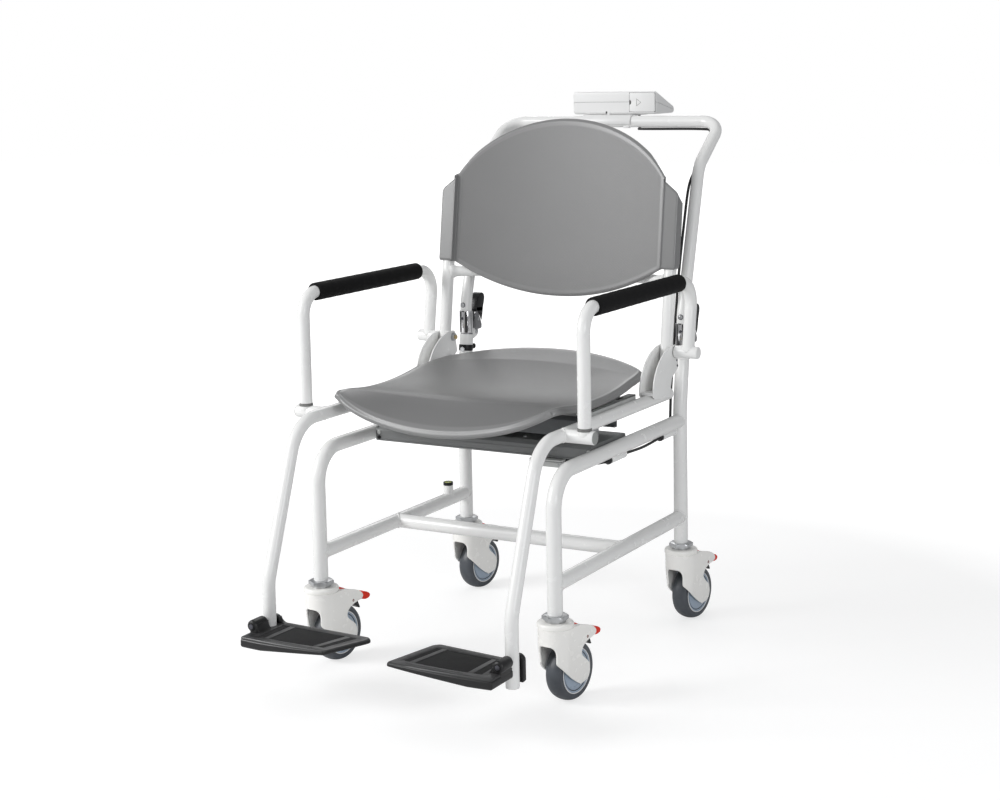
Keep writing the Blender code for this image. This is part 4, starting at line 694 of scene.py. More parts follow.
studio = {
    "floorHalf": 14,
    "glowStrength": 1.3,
    "floorColour": (0.86, 0.86, 0.86),
    "floorGlow": 0.52,
    "clearReach": (0.95, 0.8),
    "worldLevel": 0.34,
    "lamps": (
        ("keySoftbox", (-2.5, -2.4, 2.0), (0.0, 0.0, 0.45), 1.6, 100.0, (1.0, 1.0, 1.0)),
        ("sideSoftbox", (2.7, -2.1, 1.2), (0.0, 0.0, 0.35), 1.2, 30.0, (0.97, 0.985, 1.0)),
        ("topSoftbox", (0.2, 0.5, 3.0), (0.0, 0.0, 0.4), 2.2, 8.0, (1.0, 0.995, 0.985)),
        ("backSoftbox", (-1.4, 2.4, 2.0), (0.0, 0.0, 0.6), 1.2, 11.0, (1.0, 1.0, 1.0)),
    ),
}


def floorShare(tree):
    # How white the floor looks to the camera: glow + (distance - reach) / fade, and nothing to other rays
    path = tree.nodes.new("ShaderNodeLightPath")
    place = tree.nodes.new("ShaderNodeTexCoord")
    length = tree.nodes.new("ShaderNodeVectorMath")
    length.operation = "LENGTH"
    tree.links.new(place.outputs["Object"], length.inputs[0])
    reach, fade = studio["clearReach"]
    far = ((Signal(length.outputs["Value"]) - reach) / fade).held()
    return Signal(path.outputs["Is Camera Ray"]) * (studio["floorGlow"] + far * (1 - studio["floorGlow"]))


def makeStudio():
    # A plain white floor that glows evenly and takes the shadows, with soft lamps round the chair
    half = studio["floorHalf"]
    mesh = bpy.data.meshes.new("studioFloor")
    mesh.from_pydata(
        [(-half, -half, 0), (half, -half, 0), (half, half, 0), (-half, half, 0)], [], [(0, 1, 2, 3)]
    )
    floor = bpy.data.objects.new("studioFloor", mesh)
    bpy.context.scene.collection.objects.link(floor)
    material = bpy.data.materials.new("studioFloor")
    material.use_nodes = True
    tree = material.node_tree
    tree.nodes.clear()
    diffuse = tree.nodes.new("ShaderNodeBsdfDiffuse")
    diffuse.inputs["Color"].default_value = (*studio["floorColour"], 1)
    glow = tree.nodes.new("ShaderNodeEmission")
    glow.inputs["Strength"].default_value = studio["glowStrength"]
    mix = tree.nodes.new("ShaderNodeMixShader")
    result = tree.nodes.new("ShaderNodeOutputMaterial")
    tree.links.new(floorShare(tree).socket, mix.inputs[0])
    tree.links.new(diffuse.outputs[0], mix.inputs[1])
    tree.links.new(glow.outputs[0], mix.inputs[2])
    tree.links.new(mix.outputs[0], result.inputs["Surface"])
    mesh.materials.append(material)

    world = bpy.data.worlds.new("paleRoom")
    bpy.context.scene.world = world
    world.use_nodes = True
    tree = world.node_tree
    tree.nodes.clear()
    room = tree.nodes.new("ShaderNodeBackground")
    room.inputs["Color"].default_value = (0.97, 0.98, 1.0, 1)
    room.inputs["Strength"].default_value = studio["worldLevel"]
    white = tree.nodes.new("ShaderNodeBackground")
    white.inputs["Color"].default_value = (1, 1, 1, 1)
    mix = tree.nodes.new("ShaderNodeMixShader")
    result = tree.nodes.new("ShaderNodeOutputWorld")
    path = tree.nodes.new("ShaderNodeLightPath")
    tree.links.new(path.outputs["Is Camera Ray"], mix.inputs[0])
    tree.links.new(room.outputs[0], mix.inputs[1])
    tree.links.new(white.outputs[0], mix.inputs[2])
    tree.links.new(mix.outputs[0], result.inputs["Surface"])

    for name, place, target, size, power, colour in studio["lamps"]:
        data = bpy.data.lights.new(name, "AREA")
        data.shape = "SQUARE"
        data.size, data.energy, data.color = size, power, colour
        lamp = bpy.data.objects.new(name, data)
        bpy.context.scene.collection.objects.link(lamp)
        back = unit(np.array(place, float) - np.array(target, float))
        right = unit(np.cross([0, 0, 1], back))
        turn = np.eye(4)
        turn[:3, :3] = np.stack([right, np.cross(back, right), back], axis=1)
        turn[:3, 3] = place
        lamp.matrix_world = Matrix(turn.tolist())
    bpy.context.scene.view_settings.view_transform = "Standard"


makeStudio()
print("studio ready")

# Base frame

base = {
    "legX": 0.230,
    "wheelBase": 0.497,
    "railHeight": 0.380,
    "lowerHeight": 0.200,
    "tube": 0.0127,
    "legBend": 0.060,
    "legFoot": 0.1510,
    "nutFoot": 0.1418,
    "nutFlats": 0.0385,
}
upAxis, backAxis, acrossAxis = (0, 0, 1), (0, 1, 0), (1, 0, 0)


def addFoot(piece, along):
    # The leg's black insert, painted shade for the dark gap between the tube's end and the nut, and the hex
    # nut on its washer, which stands on the caster
    x, foot = base["legX"], base["nutFoot"]
    piece.add(disc(0.0112, foot, 0.1536, (x, along, 0)), blackPlastic)
    piece.add(disc(0.0172, foot - 0.0010, foot + 0.0026, (x, along, 0), rounding=0.0005), zinc)
    piece.add(hexNut((x, along, foot + 0.0022), upAxis, base["nutFlats"], 0.0076), zinc)


def legStations(x, along, top):
    # The foot's end, with a fine groove near it
    foot = base["legFoot"]
    heights = np.array([foot, foot + 0.0042, foot + 0.0045, foot + 0.0051, foot + 0.0054, top])
    radii = np.array([0, 0, -0.00045, -0.00045, 0, 0]) + base["tube"]
    return np.stack([np.full(6, x), np.full(6, along), heights], axis=1), radii


def makeFrontLeg(side, mirrored):
    # The front leg and upper rail: one tube through the stations of the leg and round the bend
    piece = Piece(f"front_leg_{side}", "base", "frame_paint", mirrored)
    x = base["legX"]
    lower, lowerRadii = legStations(x, 0, 0.20)
    upper = bend(
        [(x, 0, 0.20), (x, 0, base["railHeight"]), (x, base["wheelBase"] - 0.006, base["railHeight"])],
        base["legBend"], 5,
    )
    route = np.concatenate([lower[:-1], upper])
    radii = np.concatenate([lowerRadii[:-1], np.full(len(upper), base["tube"])])
    piece.add(tube(route, radii, 40), framePaint)
    rear = (x, base["wheelBase"], base["railHeight"])
    piece.add(weldBead(rear, upAxis, (0, -1, 0), base["tube"], base["tube"]), framePaint)
    addFoot(piece, 0)
    if not mirrored:
        for start in (0.2008, 0.4100):
            centre = np.array([x, start, base["railHeight"] - 0.0155])
            piece.add(tube([centre, centre + (0, 0.058, 0)], 0.0065, 28, 0.0006, 0.0028, 0.02), framePaint)
            ball = bend([(0, -0.0064), (0.0066, -0.0064), (0.0066, 0.0050), (0, 0.0050)], 0.0054, 15)
            piece.add(turned(ball, centre, backAxis, 28), blackPlastic)
            cone = [(0, -0.0160), (0.0024, -0.0156), (0.0030, -0.0120), (0.0052, -0.0050), (0, -0.0050)]
            piece.add(turned(cone, centre, backAxis, 24), blackPlastic)
            ring = rectangle(0.0034, 0.0572, 0.0068, 0.0592, 0.0004, 30)
            piece.add(turned(ring, centre, backAxis, 28, True), framePaint)
            piece.add(
                softBox(centre + (-0.0035, 0.003, 0), centre + (0.0035, 0.055, 0.006), 0.0025), framePaint
            )
    piece.build()


def makeRearLeg(side, mirrored):
    # The rear leg: one tube through its stations and over the kink, with the fold hinge at its top
    piece = Piece(f"rear_leg_{side}", "base", "frame_paint", mirrored)
    x, along = base["legX"], base["wheelBase"]
    lower, lowerRadii = legStations(x, along, 0.22)
    upper = bend([(x, along, 0.22), (x, along, 0.400), (x, 0.512, 0.512)], 0.25, 3)
    route = np.concatenate([lower[:-1], upper])
    radii = np.concatenate([lowerRadii[:-1], np.full(len(upper), base["tube"])])
    piece.add(tube(route, radii, 40), framePaint)
    addFoot(piece, along)
    # Collar and lugs of the fold hinge
    lean = unit(np.array([0, 0.015, 0.112]))
    collarFoot = np.array([x, 0.5103, 0.4995])
    piece.add(disc(0.01325, -0.0080, 0.0110, collarFoot, lean, 0.001), framePaint)
    piece.add(disc(0.01200, 0.0108, 0.0150, collarFoot, lean, 0.0005), cheekSteel)
    if mirrored:
        piece.add(disc(0.01380, -0.0200, -0.0080, collarFoot, lean, 0.0015), blackPlastic)
        piece.add(
            disc(0.0052, x - 0.0100, x + 0.0100, (0, 0.5250, 0.4870), acrossAxis, 0.0012), blackPlastic
        )
        piece.add(softBox((x - 0.0100, 0.5130, 0.4822), (x + 0.0100, 0.5260, 0.4918), 0.0015), blackPlastic)
        piece.add(hexNut((x, 0.4990, 0.4840), (0, -1, 0), 0.0090, 0.0050), zinc)
    lug = roundOutline(
        [(0.5120, 0.4990), (0.5330, 0.5020), (0.5470, 0.5070), (0.5470, 0.5210), (0.5277, 0.5210),
         (0.5256, 0.5117), (0.5120, 0.5117)],
        [0.001, 0.004, 0.0065, 0.0065, 0.001, 0.0004, 0.0004], 12,
    )
    for first, second in ((0.0031, 0.0057), (-0.0057, -0.0031)):
        piece.add(slab(lug, x + first, x + second, "X", 0.0004), framePaint)
    pin = (x, 0.540, 0.514)
    piece.add(disc(0.003, -0.0072, 0.0072, pin, acrossAxis, 0.0004, 24), zinc)
    for sign in (-1, 1):
        piece.add(screwHead((x + sign * 0.0057, 0.540, 0.514), (sign, 0, 0), 0.0048, 0.0022), zinc)
    piece.build()


def makeLowerRail(side, mirrored):
    # The lower rail: a tube from leg to leg with a weld bead round each end
    piece = Piece(f"lower_rail_{side}", "base", "frame_paint", mirrored)
    x, height = base["legX"], base["lowerHeight"]
    piece.add(
        tube([(x, 0.006, height), (x, base["wheelBase"] - 0.006, height)], base["tube"], 40), framePaint
    )
    for along, way in ((0, 1), (base["wheelBase"], -1)):
        piece.add(weldBead((x, along, height), upAxis, (0, way, 0), base["tube"], base["tube"]), framePaint)
    if mirrored:
        post = (x, 0.4299, 0)
        piece.add(disc(0.0095, height, 0.228, post, rounding=0.0005), framePaint)
        piece.add(weldBead((x, 0.4299, height), backAxis, upAxis, base["tube"], 0.0095, 0.0012), framePaint)
    piece.build()


def makeCrossBar():
    # The cross bar: a tube between the two lower rails with a weld bead at each end
    piece = Piece("cross_bar", "base", "frame_paint")
    x, height, along = base["legX"], base["lowerHeight"], base["wheelBase"] / 2
    piece.add(tube([(-x + 0.006, along, height), (x - 0.006, along, height)], base["tube"], 40), framePaint)
    for sign in (-1, 1):
        place = (sign * x, along, height)
        piece.add(weldBead(place, backAxis, (-sign, 0, 0), base["tube"], base["tube"]), framePaint)
    piece.build()


def makeBubbleLevel():
    # The bubble level: turned profiles of the cup, liquid, ring and bubble on one upright axis
    piece = Piece("bubble_level", "base", "lever_plastic")
    place = (-base["legX"], 0.4299, 0.2283)
    cup = [(0, 0), (0.0095, 0), (0.0095, 0.006), (0.0080, 0.006), (0.0078, 0.0047), (0, 0.0047)]
    piece.add(turned(bend(cup, 0.0005, 30), place, sides=40), blackPlastic)
    piece.add(
        turned([(0, 0.0040), (0.0076, 0.0040), (0.0070, 0.0052), (0.0035, 0.0056), (0, 0.0057)], place),
        levelLiquid,
    )
    ring = rectangle(0.0030, 0.0054, 0.0034, 0.00585, 0.0001)
    piece.add(turned(ring, place, closed=True), blackPlastic)
    bubble = [(0, 0.0052), (0.0021, 0.0054), (0.0016, 0.00585), (0, 0.00598)]
    piece.add(turned(bubble, (place[0] + 0.0006, place[1] - 0.0004, place[2]), sides=24), caseWhite)
    piece.build()


for sideArguments in sides:
    makeFrontLeg(*sideArguments)
    makeRearLeg(*sideArguments)
    makeLowerRail(*sideArguments)
makeCrossBar()
makeBubbleLevel()
print("base frame built")

# Load platform

platform = {
    "front": 0.165,
    "depth": 0.130,
    "bottom": 0.368,
    "top": 0.395,
    "reach": 0.217,
    "seatFront": 0.175,
    "seatDepth": 0.110,
    "seatBottom": 0.405,
    "seatTop": 0.440,
    "seatReach": 0.2056,
    "chamfer": 0.007,
    "lip": 0.010,
    "sheet": 0.003,
}


def channelOutline(front, depth, bottom, top):
    # A pressed channel seen from its end: outer line out and inner line back, open below
    back, lip, cut, wall = front + depth, platform["lip"], platform["chamfer"], platform["sheet"]
    outer = [
        (front + lip, bottom), (front, bottom), (front, top - cut), (front + cut, top), (back - cut, top),
        (back, top - cut), (back, bottom), (back - lip, bottom),
    ]
    inner = [
        (back - lip, bottom + wall), (back - wall, bottom + wall), (back - wall, top - cut),
        (back - cut, top - wall), (front + cut, top - wall), (front + wall, top - cut),
        (front + wall, bottom + wall), (front + lip, bottom + wall),
    ]
    return roundOutline(outer + inner, 0.0014, 22)


def makeLoadBeam():
    # The load beam: a channel outline drawn out between its end plates, with ribs and screws
    piece = Piece("load_beam", "base", "channel_paint")
    front, reach = platform["front"], platform["reach"]
    outline = channelOutline(front, platform["depth"], platform["bottom"], platform["top"])
    # The channel takes the grey paint that is partly painted shade under the seat
    piece.add(slab(outline, -reach, reach, "X", 0.0005), greyBeamPaintAndShade)
    for sign in (-1, 1):
        low, high = sorted((sign * (reach - 0.003), sign * (reach + 0.0004)))
        piece.add(softBox((low, front + 0.0015, 0.3685), (high, front + 0.1285, 0.3935), 0.0006), greyBeamPaintAndShade)
        for height, finish in ((0.3740, blackPlastic), (0.3836, paleBox)):
            centre = (sign * (reach - 0.0066), front, height)
            piece.add(screwHead(centre, (0, -1, 0), 0.0036, 0.0020), finish)
    # A folded stiffener along the lower front edge, and the pressed rib above it
    piece.add(softBox((-0.196, front - 0.0012, 0.3684), (0.196, front + 0.001, 0.3716), 0.0009), greyBeamPaintAndShade)
    piece.add(softBox((-0.150, front - 0.0008, 0.3776), (0.150, front + 0.001, 0.3822), 0.0008), greyBeamPaintAndShade)
    for x in (-0.160, -0.075, 0.0, 0.075, 0.160):
        for along in (0.190, 0.270):
            piece.add(screwHead((x, along, platform["top"]), upAxis, 0.0035, 0.0018), zinc)
    piece.build()


def makeSeatBeam():
    # The seat beam: a shallower channel on the load cells, with packers, screws and nuts
    piece = Piece("seat_beam", "base", "channel_paint")
    front, reach, top = platform["seatFront"], platform["seatReach"], platform["seatTop"]
    outline = channelOutline(front, platform["seatDepth"], platform["seatBottom"], top)
    # The seat beam's channel takes the darker copy of the grey, as painted shade under the seat
    piece.add(slab(outline, -reach, reach, "X", 0.0005), shadedBeamPaint)
    for sign in (-1, 1):
        low, high = sorted((sign * 0.1510, sign * reach))
        piece.add(softBox((low, 0.182, top - 0.001), (high, 0.212, 0.452), 0.0015), greyBeamPaintAndShade)
        for x in (0.165, 0.190):
            piece.add(screwHead((sign * x, 0.182, 0.4455), (0, -1, 0), 0.0030, 0.0016), zinc)
        for along in (0.222, 0.240):
            piece.add(hexNut((sign * 0.058, along, top), upAxis, 0.010, 0.0045), zinc)
    piece.build()


def makeJunctionBox():
    # The junction box: two rounded halves with a dark seam, screws, and a turned cable gland
    piece = Piece("junction_box", "base", "channel_paint")
    piece.add(softBox((0.103, 0.152, 0.3547), (0.165, 0.192, 0.3643), 0.0015), paleBox)
    piece.add(softBox((0.1036, 0.1526, 0.3638), (0.1644, 0.1914, 0.3650), 0.0005), seamShadow)
    piece.add(softBox((0.103, 0.152, 0.3646), (0.165, 0.192, 0.3677), 0.0012), paleBox)
    for x in (0.1085, 0.1595):
        for along in (0.1575, 0.1865):
            piece.add(screwHead((x, along, 0.3547), (0, 0, -1), 0.0026, 0.0012), zinc)
        piece.add(screwHead((x, 0.152, 0.3596), (0, -1, 0), 0.0022, 0.0010), zinc)
    gland = [
        (0, 0.0), (0.0066, 0.0), (0.0066, 0.0022), (0.0054, 0.0026), (0.0054, 0.0050), (0.0046, 0.0064),
        (0.0034, 0.0070), (0, 0.0070),
    ]
    piece.add(turned(gland, (0.1645, 0.172, 0.3612), acrossAxis, 24), blackPlastic)
    piece.build()


for side in ("left", "right"):
    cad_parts[f"load_cell_{side}"].data.materials.clear()
    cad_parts[f"load_cell_{side}"].data.materials.append(cellAluminium)
makeLoadBeam()
makeSeatBeam()
makeJunctionBox()
print("load platform built")

# Seat frame

seatFrame = {
    "upright": (0.434475, 0.517),
    "uprightLean": 0.142,
    "railX": 0.232,
    "height": 0.440,
    "rear": 0.441,
    "tube": 0.0111,
    "hangerReach": -0.147,
    "hangerKnee": 0.186,
    "hangerFoot": 0.076,
    "lean": 0.373,
    "bends": (0.075, 0.060),
    "stub": 0.0315,
    "armX": 0.272,
    "pivot": (0.440, 0.517),
}


def makeSeatRail(side, mirrored):
    # The seat rail and hanger: one tube through the corners of its route, with its stub and caps
    piece = Piece(f"seat_rail_{side}", "base", "frame_paint", mirrored)
    x, height, radius = seatFrame["railX"], seatFrame["height"], seatFrame["tube"]
    foot, knee = seatFrame["hangerFoot"], seatFrame["hangerKnee"]
    reach = seatFrame["hangerReach"]
    corners = [
        (x, seatFrame["rear"], height), (x, reach + seatFrame["lean"] * (height - knee), height),
        (x, reach, knee), (x, reach, foot),
    ]
    piece.add(tube(bend(corners, seatFrame["bends"], 4), radius, 40, 0.0005, 0.0018, 0.02), framePaint)
    rim = rectangle(0.0094, -0.0002, 0.0109, 0.0012, 0.0003)
    piece.add(turned(rim, (x, reach, foot), closed=True), bareRim)
    piece.add(disc(0.0105, -0.0008, 0.0010, (x, seatFrame["rear"], height), backAxis, 0.0006), capGrey)
    # The stub that the armrest rests on, with its end cap and the boot round the armrest's foot
    along, armX = seatFrame["stub"], seatFrame["armX"]
    piece.add(tube([(x + 0.004, along, height), (0.2900, along, height)], radius, 40), framePaint)
    piece.add(weldBead((x, along, height), backAxis, acrossAxis, radius, radius, 0.0014), framePaint)
    piece.add(disc(0.0103, 0.0590, 0.0602, (0.2310, along, height), acrossAxis, 0.0005), capGrey)
    boot = bend([(0, 0.4500), (0.0118, 0.4500), (0.0121, 0.4515), (0.0119, 0.4546), (0, 0.4546)], 0.0006, 15)
    piece.add(turned(boot, (armX, along, 0), sides=40), bootGrey)
    piece.add(disc(0.0122, 0.4420, 0.4502, (armX, along, 0), rounding=0.0015), framePaint)
    piece.build()


def makeSeatCarrier(side, mirrored):
    # The seat carrier: three flat walls that form a channel, with a screw in each of two slots
    piece = Piece(f"seat_carrier_{side}", "base", "channel_paint", mirrored)
    low, high, wall = 0.2061, 0.2206, 0.003
    front, back, bottom, top = 0.130, 0.330, 0.430, 0.456
    piece.add(softBox((high - wall, front, bottom), (high, back, top), 0.0008), paleBox)
    piece.add(softBox((low, front, bottom), (high, back, bottom + wall), 0.0008), paleBox)
    piece.add(softBox((low, front, top - wall), (high, back, top), 0.0008), paleBox)
    for middle in (0.180, 0.280):
        slot = rectangle(0.2106, middle - 0.0125, 0.2162, middle + 0.0125,
            0.0027, 20,
        )
        piece.add(slab(slot, top - 0.001, top + 0.00012, "Z", 0), seamShadow)
        piece.add(screwHead((0.2134, middle, top - 0.0032), (0, 0, -1), 0.0042, 0.0030), zinc)
    piece.build()


def makeBackBracket(side, mirrored):
    # The back bracket: arcs round the arm pivot, joined to one outline and drawn out as a plate
    piece = Piece(f"back_bracket_{side}", "base", "frame_paint", mirrored)
    x = seatFrame["railX"]
    along, height = seatFrame["pivot"]
    sweep = np.radians(np.linspace(172, 98, 20))
    crown = np.radians(np.linspace(75, -30, 14))
    outline = np.concatenate(
        [
            [(0.3480, 0.4493)],
            np.stack([along + 0.092 * np.cos(sweep), 0.4511 + 0.0784 * np.sin(sweep)], axis=1),
            np.stack([along + 0.0125 * np.cos(crown), height + 0.0125 * np.sin(crown)], axis=1),
            bend(
                [(0.4530, 0.5060), (0.4562, 0.4873), (0.4275, 0.4709), (0.4160, 0.4372)], [0.006, 0.006], 15
            )[1:-1],
            [(0.4160, 0.4372), (0.3560, 0.4440)],
        ]
    )
    for low, high in ((x - 0.0144, x - 0.0114), (x + 0.0114, x + 0.0144)):
        piece.add(slab(outline, low, high, "X", 0.0011), framePaint)
    web = rectangle(0.3498, 0.4513, 0.3790, 0.4543, 0.0012, 22)
    piece.add(slab(web, x - 0.0125, x + 0.0125, "X", 0.0003), framePaint)
    corner = roundOutline(
        [(0.3480, 0.4505), (0.3520, 0.4505), (0.3520, 0.4560), (0.3485, 0.4560)], 0.0012, 22
    )
    piece.add(slab(corner, x - 0.0140, x + 0.0140, "X", 0.0010), framePaint)
    # The armrest's pivot bolt, its nut, and the lower fixings
    piece.add(disc(0.004, x - 0.0225, 0.2894, (0, along, height), acrossAxis, 0.0006, 28), brass)
    piece.add(hexNut((x - 0.0144, along, height), (-1, 0, 0), 0.013, 0.0052), zinc)
    piece.add(disc(0.0084, x - 0.0156, x - 0.0144, (0, along, height), acrossAxis), zinc)
    piece.add(hexNut((x - 0.0144, 0.4270, 0.4790), (-1, 0, 0), 0.010, 0.0045), zinc)
    for spot in ((0.4480, 0.5000), (0.4500, 0.4900)):
        piece.add(screwHead((x + 0.0144, *spot), acrossAxis, 0.0022, 0.0012), darkSteel)
    piece.build()


def uprightY(height):
    # Where the leaning back tube's axis is, at a height
    along, level = seatFrame["upright"]
    return along + seatFrame["uprightLean"] * (np.asarray(height) - level)


def makeBackUpright(side, mirrored):
    # The back upright: a straight tube that leans back, with a cap across its upper end
    piece = Piece(f"back_upright_{side}", "base", "frame_paint", mirrored)
    x = seatFrame["railX"]
    ends = [(x, float(uprightY(h)), h) for h in (0.4500, 0.7815)]
    piece.add(tube(ends, seatFrame["tube"], 40), framePaint)
    piece.add(
        disc(0.0100, -0.001, 0.0022, ends[1], (0, seatFrame["uprightLean"], 1.0), 0.0008), blackPlastic
    )
    piece.build()


def makeBackCrossTube():
    # The tube's ends flare by f exp(-s / l) where they are welded on
    piece = Piece("back_cross_tube", "base", "frame_paint")
    along, height = float(uprightY(0.642)), 0.642
    ends = seatFrame["railX"] - 0.006
    bow = 0.029
    outer = np.array([0, 0.0035, 0.006, 0.009, 0.013, 0.018, 0.026])
    corners = [
        (-ends, along, height), (0.067 - ends, along + bow, height), (ends - 0.067, along + bow, height),
        (ends, along, height),
    ]
    curve = bend(corners, 0.110, 3)
    start = curve[0] + unit(curve[1] - curve[0]) * outer[:, None]
    finish = curve[-1] + unit(curve[-2] - curve[-1]) * outer[::-1, None]
    route = np.concatenate([start, curve[1:-1], finish])
    travelled = np.concatenate([[0], np.cumsum(np.linalg.norm(np.diff(route, axis=0), axis=1))])
    nearest = np.minimum(travelled, travelled[-1] - travelled)
    radii = 0.0095 + 0.0040 * np.exp(-np.maximum(nearest - 0.0055, 0) / 0.0035)
    piece.add(tube(route, radii, 36), framePaint)
    piece.build()


for sideArguments in sides:
    makeSeatRail(*sideArguments)
    makeSeatCarrier(*sideArguments)
    makeBackBracket(*sideArguments)
    makeBackUpright(*sideArguments)
makeBackCrossTube()
print("seat frame built")

# Moulded seat and back

shells = {
    "wall": 0.005,
    "pivotReach": 0.440,
    "seatWidth": 0.436,
    "seatDepth": 0.440,
    "ridge": 0.480,
    "dish": 0.018,
    "rearRise": 0.030,
    "sideRise": 0.002,
    "lipDrop": 0.051,
    "cornerRise": 0.011,
    "frontNarrow": 0.008,
    "rearNarrow": 0.022,
    "frontBow": 0.045,
    "rearBow": 0.115,
    "cornerPower": 8,
    "rimDepth": 0.0062,
    "arcWidth": 0.246,
    "faceEnd": 0.2150,
    "dip": 0.604,
    "hip": 0.664,
    "shoulder": 0.785,
    "peak": 0.930,
    "wingTop": (0.8205, 0.784),
    "channelFront": 0.0146,
    "channelX": (0.2192, 0.2466),
    "channelDepth": 0.0050,
    "backBow": 0.028,
    "border": 0.010,
}


def shellSkin(front, back, rounding=6, openRows=0):
    # Two facing grids p and q joined round their rim by a half circle, (p+q)/2 + (p-q)/2 cos t + w sin t.
    # The first rows of the first column can stay open, where another skin goes on
    rows, columns = front.shape[:2]
    loop = (
        [(0, j) for j in range(columns - 1)] + [(i, columns - 1) for i in range(rows - 1)]
        + [(rows - 1, j) for j in range(columns - 1, 0, -1)] + [(i, 0) for i in range(rows - 1, 0, -1)]
    )
    i, j = np.array(loop).T
    near, far = front[i, j], back[i, j]
    inner = front[np.clip(i, 1, rows - 2), np.clip(j, 1, columns - 2)]
    half = (near - far) / 2
    outward = near - inner
    outward -= half * ((outward * half).sum(1) / np.maximum((half**2).sum(1), 1e-12))[:, None]
    if openRows:
        outward[np.abs(near[:, 0]) < 1e-6, 0] = 0
    outward = unit(outward) * np.linalg.norm(half, axis=1, keepdims=True)
    t = np.linspace(0, np.pi, rounding + 1)[:, None, None]
    rim = (near + far) / 2 + half * np.cos(t) + outward * np.sin(t)
    place, quads, caps = spread(rim)
    step = np.arange(len(quads)) % len(loop)
    kept = ~((j[step] == 0) & (j[(step + 1) % len(loop)] == 0) & (i[step] <= openRows) & (openRows > 0))
    return merge([spread(front, False), spread(back, False), (place, quads[kept], caps)])


def gridNormals(points):
    # The cross product of the two ways along the grid
    return unit(np.cross(np.gradient(points, axis=0), np.gradient(points, axis=1)))


def seatSurface(a, b):
    # A dish with a rolled front and a rear that rises, over a square whose corners are drawn in by
    # |a b|ⁿ / (2n + 1), which makes them round
    s = shells
    pull = 1 - np.abs(a * b) ** s["cornerPower"] / (2 * s["cornerPower"] + 1)
    u, v = a * pull, (b * pull + 1) / 2
    behind = np.maximum(0, (v - 0.5) / 0.5)
    narrow = s["frontNarrow"] * np.maximum(0, 1 - v / 0.35) ** 2 + s["rearNarrow"] * behind**3
    x = s["seatWidth"] / 2 * (1 - narrow) * u
    roll = np.maximum(0, 1 - v / 0.22)
    bow = s["rearBow"] * np.abs(u) ** 2.6 * behind**1.5 - s["frontBow"] * u**2 * roll
    y = s["pivotReach"] - s["seatDepth"] * (0.985 - 0.985 * v + bow)
    dish = s["dish"] * (1 - u**4) * np.sin(np.pi * np.clip((v - 0.15) / 0.7, 0, 1))
    rear = s["rearRise"] * behind**2 * (1 - 0.8 * u**2)
    edge = s["sideRise"] * u**6 * v - s["dish"] * 0.55 * u**6 * np.sin(np.pi * np.minimum(1, v / 0.75))
    lip = s["lipDrop"] * roll**1.7 * (1 - 0.9 * u**2)
    corner = s["cornerRise"] * u**6 * np.maximum(0, 1 - v / 0.32) ** 1.5
    return np.stack([x, y, s["ridge"] - dish + rear + edge - lip + corner], axis=-1)


def rimWeight(a, b, reach):
    # 1 at the very edge of the square, falling to 0 one reach inside it
    inside = np.minimum(1 - np.abs(a), 1 - np.abs(b))
    return np.clip(1 - inside / reach, 0, 1)


def makeSeatShell():
    # The rim is turned down: the underside is w² · rimDepth lower near the edge, and the top rolls over
    piece = Piece("seat_shell", "base", "shell_plastic")
    ease = np.sin(np.linspace(-1, 1, 161) * np.pi / 2 * 0.88) / math.sin(np.pi / 2 * 0.88)
    a, b = np.meshgrid(ease, ease, indexing="ij")
    top = seatSurface(a * 0.9935, b * 0.9935)
    normals = gridNormals(top)
    normals *= np.sign(normals[..., 2:3].mean())
    edge = rimWeight(a, b, 0.050)
    lip = rimWeight(a, b, 0.022)
    top = top - normals * (0.0022 * lip**2)[..., None]
    under = top - normals * (shells["wall"] + shells["rimDepth"] * edge**2)[..., None]
    inside = (1 - np.maximum(np.abs(a), np.abs(b))) * shells["seatWidth"] / 2
    plain = np.clip((shells["border"] - inside) / 0.0022 + 0.5, 0, 1)
    surface = shellSkin(top, under)
    rimCount = len(surface[0]) - 2 * plain.size
    piece.add(surface, shellPlastic, rim=np.concatenate([plain.ravel(), np.ones(plain.size + rimCount)]))
    for sign in (-1, 1):
        middle = sign * 0.2040
        steps = np.linspace(-0.40, 0.36, 17)
        crest = seatSurface(np.full(17, middle / (shells["seatWidth"] / 2)), steps)[:, 1:]
        crest[:, 1] -= shells["wall"] * 0.9
        outline = np.concatenate([crest, [(crest[-1, 0], 0.4563), (crest[0, 0], 0.4563)]])
        piece.add(slab(outline, middle - 0.0045, middle + 0.0045, "X", 0.0006), shellPlastic)
    piece.build(50)


def backSection():
    # Half of the level section: the bowed face, the step out to the channel, its flat front, and its side
    s = shells
    across = np.linspace(0, s["faceEnd"], 70)
    face = np.stack([across, -0.0161 + s["backBow"] * (1 - (across / 0.253) ** 2)], axis=1)
    left, right = s["channelX"]
    front = -s["channelFront"]
    corners = [
        face[-2], face[-1], (left - 0.0026, front - 0.0022), (left - 0.0004, front - 0.0022),
        (left + 0.0012, front), (right, front), (right, s["channelDepth"]),
    ]
    return np.concatenate([face[:-1], bend(corners, [0.001, 0.0008, 0.0008, 0.001, 0.0042], 15)[1:]])


